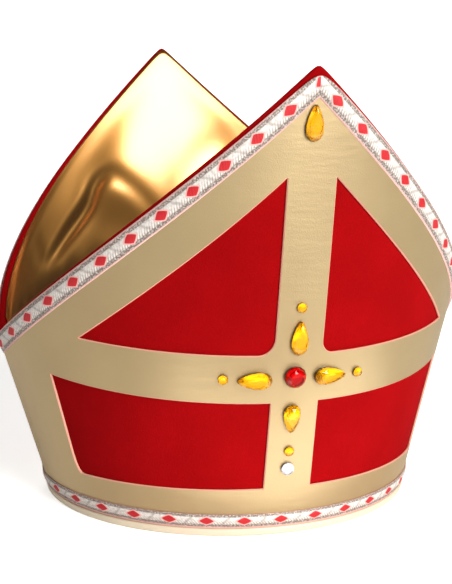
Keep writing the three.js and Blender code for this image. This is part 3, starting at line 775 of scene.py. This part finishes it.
for side in SIDES:
    middle_line = np.linspace(-1, 1, BRAID_COLUMNS)
    tips = across_at(FRONT, np.array([-BRAID_TIP_HALF_WIDTH, 0, BRAID_TIP_HALF_WIDTH]), UPPER_Z)
    across = np.unique(np.round(np.concatenate([middle_line, tips]), 6))
    low = slope_height(across, VELVET_REVEAL + BRAID_WIDTH, 0)
    high = slope_height(across, VELVET_REVEAL, BRAID_TIP_HALF_WIDTH)
    share = np.linspace(0, 1, BRAID_ROWS)
    z = mix(low[:, None], high[:, None], share)
    steepness = slope_steepness(across)
    below = (slope_height(across, 0, 0)[:, None] - z) / np.hypot(1, steepness)[:, None]
    edge_line = face_point(side, across, slope_height(across, 0, 0))
    paces = np.concatenate([[0], np.cumsum(np.linalg.norm(np.diff(edge_line, axis=0), axis=1))])
    from_peak = np.abs(paces - np.interp(0, across, paces))
    centre_line = VELVET_REVEAL + BRAID_WIDTH / 2
    along = from_peak[:, None] + below * steepness[:, None] - centre_line * steepness.max()
    phase = np.where(across < 0, FIRST_LOZENGE["left"], FIRST_LOZENGE["right"])[:, None]
    eased = np.sin(np.pi * np.clip((along - LEFT_EASE["start"]) / LEFT_EASE["length"], 0, 1)) ** 2
    along = along + np.where(across < 0, LEFT_EASE["most"], 0)[:, None] * eased
    offset = centre_line - below

    def place_points(distance, side=side, across=across, z=z):
        return layer_point(side, np.repeat(across[:, None], z.shape[1], axis=1), z, distance)

    braid = braid_piece(
        side["name"] + "_slope_braid", place_points, along - phase, offset, BRAID_WIDTH,
        side["name"] + "_edge_braid", ring=False,
    )

# Rim braid
# The same weave, 8 mm wide with a lozenge every 19 mm, sewn once round the rim over the foot of
# both panels.
RIM_BRAID_WIDTH = 7.9
RIM_BRAID_FOOT_Z = 4.4
RIM_BRAID_COLUMNS = 760
RIM_LOZENGE_PITCH = 18.95
RIM_LOZENGE_ARC = -21.2
RIM_CENTRE_RAISED = 0.55
RIM_LINE_Z = 8.0


def round_the_rim(count):
    """Places once round the rim, by arc length: the front from left to right, then the rear."""
    places = []
    for side in SIDES:
        half = float(arc_at(side, 1, RIM_LINE_Z))
        arcs = np.linspace(-half, half, count + 1)[:-1] * -side["facing"]
        across = across_at(side, arcs, np.full_like(arcs, RIM_LINE_Z))
        across[0] = side["facing"]
        places.append((side, across, arcs))
    return places


def rim_points(places, heights, distances):
    """Sections round the rim, each through the same heights and distances."""
    rings = []
    for side, across, _ in places:
        z = np.broadcast_to(heights, (len(across), len(heights)))
        spread = np.repeat(across[:, None], len(heights), axis=1)
        distance = distances[side["name"]] if isinstance(distances, dict) else distances
        ring = layer_point(side, spread, z, distance)
        ring[0, :, 1] = 0
        rings.append(ring)
    return np.concatenate(rings)


rim_places = round_the_rim(RIM_BRAID_COLUMNS)
heights = np.linspace(RIM_BRAID_FOOT_Z, RIM_BRAID_FOOT_Z + RIM_BRAID_WIDTH, BRAID_ROWS)
front_arcs = rim_places[0][2]
half_round = float(arc_at(FRONT, 1, RIM_LINE_Z))
rear_arcs = half_round + (rim_places[1][2][0] - rim_places[1][2])
girth = np.concatenate([front_arcs, rear_arcs]) - RIM_LOZENGE_ARC
girth = girth * LOZENGE_PITCH / RIM_LOZENGE_PITCH
along = np.repeat(girth[:, None], BRAID_ROWS, axis=1)
offset = np.repeat(heights[None, :] - heights.mean() - RIM_CENTRE_RAISED, len(girth), axis=0)


def rim_ribbon(distance):
    """Sections of the rim braid at distances over the face, the front's first."""
    first = len(front_arcs)
    return rim_points(rim_places, heights, {"front": distance[:first], "rear": distance[first:]})


braid_piece("rim_woven_braid", rim_ribbon, along, offset, RIM_BRAID_WIDTH, "rim_braid", ring=True)

# Turned edge
# A strip of cream-gold leatherette is folded round the lower edge of both boards and glued. It
# makes the rolled foot that the mitre stands on.
TURNED_OUT = 2.2
TURNED_HEIGHT = 4.1
FOOT_THICKNESS = 1.0
FOOT_RADIUS = 1.2
LIP_RADIUS = 0.8
INNER_BEVEL = 0.4
TURNED_COLUMNS = 150
EDGE_CREAM = "f2e3c8"

# The same grained vinyl as the panels, paler and with less metal flake.
turned_edge, tree = new_material("turned_leatherette_edge")
place = add_node(tree, "ShaderNodeTexCoord")
grain = add_node(
    tree, "ShaderNodeTexVoronoi",
    {"Vector": place.outputs["Object"], "Scale": 1000 / LEATHER_GRAIN_MM}, feature="SMOOTH_F1",
)
pebbled = add_node(tree, "ShaderNodeBump", {"Height": grain, "Strength": 0.25, "Distance": 0.0002})
coating = add_node(tree, "ShaderNodeBsdfPrincipled", {
    "Base Color": linear(EDGE_CREAM), "Metallic": 0.15, "Roughness": 0.45, "Normal": pebbled,
})
add_node(tree, "ShaderNodeOutputMaterial", {"Surface": coating})

corner = np.linspace(0, np.pi / 2, 6)
profile = [
    (-BOARD_THICKNESS, FOOT_THICKNESS),
    (-BOARD_THICKNESS, INNER_BEVEL),
    (-BOARD_THICKNESS + INNER_BEVEL, 0.0),
]
for a in corner:
    profile.append((
        TURNED_OUT - FOOT_RADIUS * (1 - math.sin(a)),
        FOOT_RADIUS * (1 - math.cos(a)),
    ))
for a in corner:
    profile.append((
        TURNED_OUT - LIP_RADIUS * (1 - math.cos(a)),
        TURNED_HEIGHT - LIP_RADIUS * (1 - math.sin(a)),
    ))
profile += [(GOLD_IN, TURNED_HEIGHT), (GOLD_IN, FOOT_THICKNESS)]
profile = np.array(profile)
points = rim_points(round_the_rim(TURNED_COLUMNS), profile[:, 1], profile[:, 0])
faces = facing_out(points, loft_faces(len(points), len(profile), ring=True))
binding = make_piece("rim_turned_edge", points, faces, [turned_edge])
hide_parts("rim_binding")

# Satin linings
# Gold satin is sewn inside each horn just under its edge and gathered down to a seam along the
# valley between the horns, so it hangs in soft slanting folds.
SATIN_TOP_REVEAL = {"front": (0.8, 0.8), "rear": (1.1, 0.4)}
SATIN_END = 0.94
SATIN_SLACK = 0.5
SATIN_CLEARANCE = 0.3
SATIN_THICKNESS = 0.7
HEM_PUFF = 4.2
PUFF_RISE = 20
HEM_RISE = 9
HEM_REACH = 24
HEM_REST = 0.5
HEM_PUFF_ARCS = (30, 80)
TAUT_LIFT = 6
TAUT_REACH = 42
TAUT_RISE = 65
VALLEY_MIDDLE_Z = 112
VALLEY_SIDE_DROP = 10
VALLEY_SQUARENESS = 3.4
SATIN_FOLDS = [
    {
        "side": REAR, "lift": 3.7, "width": 4.4, "under": 2.9,
        "arcs": [-104, -83, -66, -58, -47, -36, -25, -12],
        "heights": [119, 134, 147, 159, 164, 159, 150, 134],
    },
    {"side": REAR, "lift": 2.4, "width": 10, "arcs": [54, 38, 18, 2], "heights": [172, 181, 170, 150]},
    {
        "side": REAR, "lift": 3, "width": 2.8, "under": 7,
        "arcs": [-106, -85, -67, -56], "heights": [118, 134, 148, 161],
    },
    {
        "side": REAR, "lift": 12, "width": 20,
        "arcs": [-94, -66, -46, -22], "heights": [108, 124, 133, 124],
    },
    {"side": REAR, "lift": 0.7, "width": 3.4, "arcs": [-116, -112, -109], "heights": [134, 120, 104]},
    {
        "side": REAR, "lift": 3.4, "width": 5.5,
        "arcs": [16, 34, 52, 74, 96], "heights": [132, 150, 158, 140, 122],
    },
    {
        "side": FRONT, "lift": 3.8, "width": 5,
        "arcs": [96, 72, 55, 42, 26, 12], "heights": [120, 136, 150, 161, 155, 136],
    },
    {
        "side": FRONT, "lift": 3.4, "width": 5,
        "arcs": [-94, -72, -52, -36, -18], "heights": [118, 136, 154, 150, 132],
    },
    {"side": FRONT, "lift": 2.4, "width": 10, "arcs": [-36, -18, 4], "heights": [186, 174, 158]},
]
FOLD_STEPS = 24
FOLD_ENDS = 0.12
FOLD_SIDE_FADE = 0.12
MIDDLE_ROUNDING = 34
GATHER_RISE = 1.6
GATHER_PITCH = 17
GATHER_REACH = 0.66
GATHER_SWAY = 2.2
GATHER_SWAY_LENGTH = 19
GATHER_SHARE = {"middle": 0.65, "change": 0.35, "length": 13, "shift": 0.8}
SATIN_COLUMNS = 220
SATIN_ROWS = 110
SATIN_STEPS = 241
SATIN_EASINGS = 10
SATIN_GOLD = "cf8c20"
SATIN_CREAM = "fff2d0"
# Satin thread is about 0.15 mm, and is drawn 0.5 mm wide so that it shows.
SATIN_THREAD_MM = 0.5


def fold_ridge(fold):
    """Points of a fold's ridge, on a smooth line through its places."""
    knots = np.stack([fold["arcs"], fold["heights"]], axis=-1).astype(float)
    padded = np.concatenate([knots[:1], knots, knots[-1:]])
    points = []
    for k in range(FOLD_STEPS + 1):
        place = k / FOLD_STEPS * (len(knots) - 1)
        index = min(int(place), len(knots) - 2)
        t = place - index
        p0, p1, p2, p3 = padded[index:index + 4]
        points.append(0.5 * (
            2 * p1 + (p2 - p0) * t + (2 * p0 - 5 * p1 + 4 * p2 - p3) * t ** 2
            + (3 * p1 - p0 - 3 * p2 + p3) * t ** 3
        ))
    return np.array(points)


def fold_lift(side, arc, z):
    """How far the folds lift the satin off its shield."""
    lift = np.zeros_like(arc)
    for fold in SATIN_FOLDS:
        if fold["side"] is not side:
            continue
        ridge = fold_ridge(fold)
        nearest = np.full_like(arc, np.inf)
        part = np.zeros_like(arc)
        width = np.full_like(arc, fold["width"])
        for k in range(FOLD_STEPS):
            start, step = ridge[k], ridge[k + 1] - ridge[k]
            reach = ((arc - start[0]) * step[0] + (z - start[1]) * step[1]) / (step @ step)
            reach = np.clip(reach, 0, 1)
            gap = np.hypot(arc - start[0] - reach * step[0], z - start[1] - reach * step[1])
            beneath = step[0] * (z - start[1]) < step[1] * (arc - start[0])
            flank = np.where(beneath, fold.get("under", fold["width"]), fold["width"])
            closer = gap < nearest
            part = np.where(closer, (k + reach) / FOLD_STEPS, part)
            width = np.where(closer, flank, width)
            nearest = np.minimum(nearest, gap)
        fade = np.sin(np.pi * mix(FOLD_ENDS, 1 - FOLD_ENDS, part))
        lift += fold["lift"] * fade * np.exp(-(nearest / width) ** 2)
    return lift


def eased_step(value):
    """Rises softly from 0 to 1 as the value does."""
    value = np.clip(value, 0, 1)
    return value * value * (3 - 2 * value)


def satin_middle(side, across, travel):
    """Middle of the cloth: travel runs from 0 at the valley's seam to 1 at the slope."""
    angle = travel * np.pi / 2
    power = 2 / VALLEY_SQUARENESS
    outward = np.sin(angle) ** power
    climb = 1 - np.abs(np.cos(angle)) ** power
    reveal = mix(*SATIN_TOP_REVEAL[side["name"]], (1 + across) / 2)
    top = slope_height(across, reveal)
    edge = float(slope_height(SATIN_END)) - VALLEY_SIDE_DROP
    valley = mix(VALLEY_MIDDLE_Z, edge, across ** 2)
    rounded_top = slope_height(across, reveal, MIDDLE_ROUNDING)
    z = mix(valley, mix(rounded_top, top, climb), climb)
    below_top = np.maximum(top - z, 0)
    hem = eased_step(below_top / HEM_RISE)
    radius = BOARD_THICKNESS / 2
    from_edge = below_top / np.hypot(1, slope_steepness(across)) + reveal
    round_part = np.clip(1 - from_edge / radius, 0, 1)
    rounding = radius * (1 - np.sqrt(1 - round_part ** 2))
    depth = BOARD_THICKNESS + SATIN_CLEARANCE + SATIN_SLACK * hem + SATIN_THICKNESS / 2 - rounding
    near = layer_point(side, across, z, -depth)
    other = layer_point(REAR if side is FRONT else FRONT, across, z, -depth)
    x = mix(other[..., 0], near[..., 0], (1 + outward) / 2)
    side_fade = np.clip((1 - np.abs(across)) / FOLD_SIDE_FADE, 0, 1)
    arc = arc_at(side, across, z)
    puff_start, puff_full = HEM_PUFF_ARCS
    sideways = eased_step((np.abs(arc) - puff_start) / (puff_full - puff_start))
    swell = eased_step(below_top / PUFF_RISE)
    swell *= mix(HEM_REST, 1, np.exp(-(np.maximum(below_top - PUFF_RISE, 0) / HEM_REACH) ** 2))
    puff = HEM_PUFF * sideways * swell
    taut = TAUT_LIFT * np.exp(-(arc / TAUT_REACH) ** 2)
    taut *= 1 - np.exp(-((PEAK_Z - z) / TAUT_RISE) ** 2)
    lift = (taut + puff + fold_lift(side, arc, z)) * hem * side_fade
    shrink = np.maximum(np.abs(near[..., 1]) * outward - lift * outward, 0)
    gathering = np.sin(np.pi * np.clip(travel / GATHER_REACH, 0, 1)) ** 1.5 * side_fade
    wave = np.sin(arc / GATHER_SHARE["length"] + GATHER_SHARE["shift"])
    uneven = GATHER_SHARE["middle"] + GATHER_SHARE["change"] * wave
    sway = GATHER_SWAY * np.sin(arc / GATHER_SWAY_LENGTH)
    ripple = np.sin(2 * np.pi * arc / GATHER_PITCH + sway)
    z = z + GATHER_RISE * gathering * ripple * uneven
    return np.stack([x, side["facing"] * (shrink + SEAM_GAP / 2), z], axis=-1)


# Long floats of thread shine almost like metal along the folds. The coat is the broad, whiter
# lustre on top of that.
satin, tree = new_material("gold_satin")
place = add_node(tree, "ShaderNodeTexCoord")
threads = add_node(
    tree, "ShaderNodeTexNoise",
    {"Vector": place.outputs["Object"], "Scale": 1000 / SATIN_THREAD_MM, "Detail": 1.0},
)
woven = add_node(tree, "ShaderNodeBump", {"Height": threads, "Strength": 0.08, "Distance": 0.0002})
lustre = add_node(tree, "ShaderNodeBsdfPrincipled", {
    "Base Color": linear(SATIN_GOLD),
    "Metallic": 1.0,
    "Roughness": 0.39,
    "Coat Weight": 1.0,
    "Coat Roughness": 0.3,
    "Coat IOR": 2.0,
    "Specular Tint": linear(SATIN_CREAM),
    "Normal": woven,
})
add_node(tree, "ShaderNodeOutputMaterial", {"Surface": lustre})

for side in SIDES:
    across = np.linspace(-SATIN_END, SATIN_END, SATIN_COLUMNS)
    travel = np.linspace(0, 1, SATIN_STEPS)
    columns = np.repeat(across[:, None], len(travel), axis=1)
    path = satin_middle(side, columns, np.tile(travel, (len(across), 1)))
    middle = []
    for column in path:
        paces = np.concatenate([[0], np.cumsum(np.linalg.norm(np.diff(column, axis=0), axis=1))])
        even = np.linspace(0, paces[-1], SATIN_ROWS)
        middle.append(np.stack([np.interp(even, paces, column[:, k]) for k in range(3)], axis=-1))
    middle = np.array(middle)
    for _ in range(SATIN_EASINGS):
        beside = middle[:-2, 1:-1] + middle[2:, 1:-1] + middle[1:-1, :-2] + middle[1:-1, 2:]
        middle[1:-1, 1:-1] = (middle[1:-1, 1:-1] * 2 + beside) / 6
    along = np.gradient(middle, axis=0)
    rising = np.gradient(middle, axis=1)
    normal = np.cross(along, rising)
    normal /= np.linalg.norm(normal, axis=-1, keepdims=True)
    half = SATIN_THICKNESS / 2
    points = np.concatenate([middle + normal * half, (middle - normal * half)[:, ::-1]], axis=1)
    faces = facing_out(points, loft_faces(len(points), points.shape[1]))
    lining = make_piece(side["name"] + "_gold_satin", points, faces, [satin])
    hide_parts(side["name"] + "_satin_lining")

# Cut stones
# Moulded acrylic with a flat foiled back, a girdle, crown facets and a table, glued on the
# gold: five amber drops, four small amber rounds, a red round and a clear one.
STONES_OFF_MIDDLE = -1.5
STONE_BACK = 1.6
DROP = {"length": 18, "width": 9.6, "height": 4.4, "sides": 14}
LOWER_DROP = {"length": 15.5, "width": 9.4, "height": 4.2, "sides": 14}
ROUND = {"across": 11.6, "height": 4.6, "sides": 14}
SMALL_ROUND = {"across": 5.4, "height": 2.4, "sides": 10}
CLEAR_ROUND = {"across": 7, "height": 3.2, "sides": 12}
DROP_TAPER = 0.42
DROP_FULLNESS = 1.28
TABLE_SHARE = 0.56
MIDDLE_RING_SHARE = 0.84
GIRDLE_SHARE = 0.26
MIDDLE_RING_RISE = 0.72
FOOT_SHARE = 0.97
BACK_SHARE = 0.93
BACK_RISE = 0.9
KEEL_SHARE = 0.5
KEEL_RISE = 0.12
KEEL_MIDDLE_RISE = 0.05
STONES = [
    {"name": "peak_drop", "cut": DROP, "gem": "amber", "arc": 0, "z": 213.9, "points": "up"},
    {"name": "upper_drop", "cut": DROP, "gem": "amber", "arc": 0.9, "z": 107.1, "points": "up"},
    {"name": "lower_drop", "cut": LOWER_DROP, "gem": "amber", "arc": 0, "z": 64.6, "points": "down"},
    {"name": "left_drop", "cut": DROP, "gem": "amber", "arc": -20.4, "z": 85.6, "points": "left"},
    {"name": "right_drop", "cut": DROP, "gem": "amber", "arc": 18.8, "z": 86.3, "points": "right"},
    {"name": "centre_round", "cut": ROUND, "gem": "red", "arc": 0, "z": 86.9, "points": "up"},
    {"name": "upper_small", "cut": SMALL_ROUND, "gem": "amber", "arc": 0.8, "z": 122.8, "points": "up"},
    {"name": "lower_small", "cut": SMALL_ROUND, "gem": "amber", "arc": 0.4, "z": 46.6, "points": "up"},
    {"name": "left_small", "cut": SMALL_ROUND, "gem": "amber", "arc": -35.8, "z": 86.2, "points": "up"},
    {"name": "right_small", "cut": SMALL_ROUND, "gem": "amber", "arc": 35.7, "z": 86, "points": "up"},
    {"name": "foot_clear", "cut": CLEAR_ROUND, "gem": "clear", "arc": 0.3, "z": 37.1, "points": "up"},
]
QUARTER_TURNS = {"up": 0, "left": 1, "down": 2, "right": 3}
ACRYLIC_TINTS = {"amber": "fccb2e", "red": "cc1c28", "clear": "ffffff"}
FOIL_TINTS = {"amber": "fce070", "red": "e8303c", "clear": "f0f0f6"}
HAZE_MM = 6.25
CRINKLE_MM = 2.0

# Cast acrylic is clear and coloured right through, and its polish is a little hazy. The foil
# behind it is a thin crinkled mirror that sends the light back through the colour.
acrylics = {}
for gem, tint in ACRYLIC_TINTS.items():
    acrylic, tree = new_material(gem + "_cut_acrylic")
    place = add_node(tree, "ShaderNodeTexCoord")
    haze = add_node(
        tree, "ShaderNodeTexNoise", {"Vector": place.outputs["Object"], "Scale": 1000 / HAZE_MM},
    )
    cloud = add_node(
        tree, "ShaderNodeMapRange", {0: haze.outputs["Fac"], 1: 0.0, 2: 1.0, 3: 0.01, 4: 0.05},
    )
    body = add_node(tree, "ShaderNodeBsdfPrincipled", {
        "Base Color": linear(tint), "Roughness": cloud, "IOR": 1.49, "Transmission Weight": 1.0,
    })
    add_node(tree, "ShaderNodeOutputMaterial", {"Surface": body})
    foil, tree = new_material(gem + "_foil_back")
    place = add_node(tree, "ShaderNodeTexCoord")
    crinkle = add_node(
        tree, "ShaderNodeTexNoise", {"Vector": place.outputs["Object"], "Scale": 1000 / CRINKLE_MM},
    )
    wrinkled = add_node(tree, "ShaderNodeBump", {"Height": crinkle, "Strength": 0.3, "Distance": 0.0003})
    mirror = add_node(tree, "ShaderNodeBsdfPrincipled", {
        "Base Color": linear(FOIL_TINTS[gem]), "Metallic": 1.0, "Roughness": 0.22, "Normal": wrinkled,
    })
    add_node(tree, "ShaderNodeOutputMaterial", {"Surface": mirror})
    acrylics[gem] = (acrylic, foil)


def stone_outline(cut):
    """Outline of a stone in its own plane: a circle, or a drop with its point along +Y."""
    angle = np.arange(cut["sides"]) / cut["sides"] * 2 * np.pi + np.pi / 2
    rise = np.sin(angle)
    taper = 1.0 if "across" in cut else mix(1, DROP_TAPER, (1 + rise) / 2)
    width = cut.get("across") or cut["width"] * DROP_FULLNESS
    length = cut.get("across") or cut["length"]
    return np.stack([width / 2 * np.cos(angle) * taper, length / 2 * rise], axis=-1)


def stone_mesh(cut):
    """Crown, table and girdle in acrylic, and a foiled pavilion of shallow facets behind."""
    outline = stone_outline(cut)
    halfway = (outline + np.roll(outline, -1, axis=0)) / 2
    sides, height = cut["sides"], cut["height"]
    rings = [
        (outline * FOOT_SHARE, 0.0),
        (outline, height * GIRDLE_SHARE),
        (halfway * MIDDLE_RING_SHARE, height * MIDDLE_RING_RISE),
        (outline * TABLE_SHARE, height),
        (outline * BACK_SHARE, height * GIRDLE_SHARE * BACK_RISE),
        (halfway * KEEL_SHARE, height * KEEL_RISE),
    ]
    points = np.concatenate([np.column_stack([ring, np.full(sides, z)]) for ring, z in rings])
    keel_middle = len(points)
    points = np.concatenate([points, [[0, 0, height * KEEL_MIDDLE_RISE]]])
    faces, kinds = [], []
    for i in range(sides):
        k = (i + 1) % sides
        pairs = [[ring * sides + i, ring * sides + k] for ring in range(len(rings))]
        foot, girdle, crown, table, back, keel = pairs
        faces.append([foot[0], foot[1], girdle[1], girdle[0]])
        faces.append([girdle[0], girdle[1], crown[0]])
        faces.append([crown[0], girdle[1], crown[1]])
        faces.append([crown[0], table[1], table[0]])
        faces.append([crown[0], crown[1], table[1]])
        kinds += [0, 0, 0, 0, 0]
        faces.append([back[0], back[1], keel[0]])
        faces.append([keel[0], back[1], keel[1]])
        faces.append([keel[0], keel[1], keel_middle])
        kinds += [1, 1, 1]
    table_start = 3 * sides
    faces += [list(range(sides))[::-1], list(range(table_start, table_start + sides))]
    kinds += [1, 0]
    return points, faces, kinds


for stone in STONES:
    points, faces, kinds = stone_mesh(stone["cut"])
    z = float(stone["z"])
    across = float(across_at(FRONT, STONES_OFF_MIDDLE + stone["arc"], z))
    out = face_normal(FRONT, across, z)
    along = face_point(FRONT, across + 0.01, z) - face_point(FRONT, across - 0.01, z)
    along /= np.linalg.norm(along)
    upward = np.cross(out, along)
    turn = QUARTER_TURNS[stone["points"]] * np.pi / 2
    x, y = points[:, 0].copy(), points[:, 1].copy()
    points[:, 0] = x * math.cos(turn) - y * math.sin(turn)
    points[:, 1] = x * math.sin(turn) + y * math.cos(turn)
    placed = points @ np.stack([along, upward, out]) + layer_point(FRONT, across, z, STONE_BACK)
    gem = make_piece(
        "stone_" + stone["name"] + "_cut", placed, faces, acrylics[stone["gem"]],
        face_materials=kinds, smooth=False,
    )
    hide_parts("stone_" + stone["name"])

# Studio
# A white paper sweep that glows, two panes of window light from the front right, and two dim
# reflections off the walls behind. A table top that the camera doesn't see throws light back
# up, and a small lamp at the foot is its glare on the rim.
FLOOR_RADIUS = 2.4
SWEEP_RADIUS = 1.2
BACKDROP_TOP_Z = 5.0
SWEEP_STEPS = 16
SWEEP_SIDES = 64
FLOOR_COLOUR = "f6f5f3"
FLOOR_GLOW = 0.7
SURROUND_COLOUR = "ffffff"
SURROUND_STRENGTH = 0.05
LIGHTS = [
    {"name": "window_lower_pane", "azimuth": 20, "elevation": 10, "spread": 30, "strength": 2.15},
    {"name": "window_upper_pane", "azimuth": 20, "elevation": 35, "spread": 30, "strength": 2.15},
    {"name": "back_wall_right", "azimuth": 165, "elevation": 30, "spread": 20, "strength": 0.7},
    {"name": "back_wall_left", "azimuth": -140, "elevation": 30, "spread": 20, "strength": 0.5},
]
TABLE_CORNERS = [(-4, -4, -0.001), (4, -4, -0.001), (4, 1.6, -0.001), (-4, 1.6, -0.001)]
MOTTLE_M = 0.333
TABLE_GLARE = {"place": (0.04, -0.175, 0.002), "size": (0.34, 0.1), "watts": 0.15}

bpy.context.scene.view_settings.view_transform = "Standard"
papers = {}
for name, glow in (("pale_paper_sweep", FLOOR_GLOW), ("pale_table_top", 0.0)):
    papers[name], tree = new_material(name)
    place = add_node(tree, "ShaderNodeTexCoord")
    mottle = add_node(
        tree, "ShaderNodeTexNoise", {"Vector": place.outputs["Object"], "Scale": 1 / MOTTLE_M},
    )
    tone = add_node(
        tree, "ShaderNodeMapRange", {0: mottle.outputs["Fac"], 1: 0.0, 2: 1.0, 3: 0.86, 4: 0.9},
    )
    paint = add_node(tree, "ShaderNodeBsdfPrincipled", {
        "Base Color": linear(FLOOR_COLOUR), "Roughness": tone,
        "Emission Color": linear(FLOOR_COLOUR), "Emission Strength": glow,
    })
    add_node(tree, "ShaderNodeOutputMaterial", {"Surface": paint})

bend = np.linspace(0, np.pi / 2, SWEEP_STEPS)
sweep_line = [(0.001, 0.0)]
for a in bend:
    sweep_line.append((FLOOR_RADIUS + SWEEP_RADIUS * math.sin(a), SWEEP_RADIUS * (1 - math.cos(a))))
sweep_line += [(FLOOR_RADIUS + SWEEP_RADIUS, BACKDROP_TOP_Z)]
sweep_points = []
for k in range(SWEEP_SIDES):
    angle = 2 * math.pi * k / SWEEP_SIDES
    sweep_points += [(radius * math.cos(angle), radius * math.sin(angle), z) for radius, z in sweep_line]
sweep_faces = []
for k in range(SWEEP_SIDES):
    for i in range(len(sweep_line) - 1):
        a, b = k * len(sweep_line) + i, (k + 1) % SWEEP_SIDES * len(sweep_line) + i
        sweep_faces.append((a, a + 1, b + 1, b))
sweep_mesh = bpy.data.meshes.new("paper_sweep")
sweep_mesh.from_pydata(sweep_points, [], sweep_faces)
sweep_mesh.polygons.foreach_set("use_smooth", np.full(len(sweep_faces), True))
sweep_mesh.materials.append(papers["pale_paper_sweep"])
sweep = bpy.data.objects.new("paper_sweep", sweep_mesh)
bpy.context.scene.collection.objects.link(sweep)
sweep.visible_diffuse = False
sweep.visible_glossy = False
sweep.visible_shadow = False

table_mesh = bpy.data.meshes.new("table_top")
table_mesh.from_pydata(TABLE_CORNERS, [], [(0, 1, 2, 3)])
table_mesh.materials.append(papers["pale_table_top"])
table_top = bpy.data.objects.new("table_top", table_mesh)
bpy.context.scene.collection.objects.link(table_top)
table_top.visible_camera = False

world = bpy.data.worlds.new("surround")
world.use_nodes = True
bpy.context.scene.world = world
surround = world.node_tree.nodes["Background"]
surround.inputs["Color"].default_value = linear(SURROUND_COLOUR)
surround.inputs["Strength"].default_value = SURROUND_STRENGTH

for lamp in LIGHTS:
    azimuth = math.radians(lamp["azimuth"])
    elevation = math.radians(lamp["elevation"])
    to_light = Vector((
        math.sin(azimuth) * math.cos(elevation),
        -math.cos(azimuth) * math.cos(elevation),
        math.sin(elevation),
    ))
    sun = bpy.data.lights.new(lamp["name"], "SUN")
    sun.energy = lamp["strength"]
    sun.angle = math.radians(lamp["spread"])
    sun_object = bpy.data.objects.new(lamp["name"], sun)
    bpy.context.scene.collection.objects.link(sun_object)
    sun_object.location = to_light * 2
    sun_object.rotation_euler = (-to_light).to_track_quat("-Z", "Y").to_euler()

glare = bpy.data.lights.new("table_glare", "AREA")
glare.shape = "RECTANGLE"
glare.size, glare.size_y = TABLE_GLARE["size"]
glare.energy = TABLE_GLARE["watts"]
table_glare = bpy.data.objects.new("table_glare", glare)
bpy.context.scene.collection.objects.link(table_glare)
table_glare.location = TABLE_GLARE["place"]
table_glare.rotation_euler = (math.pi, 0, 0)
table_glare.visible_camera = False
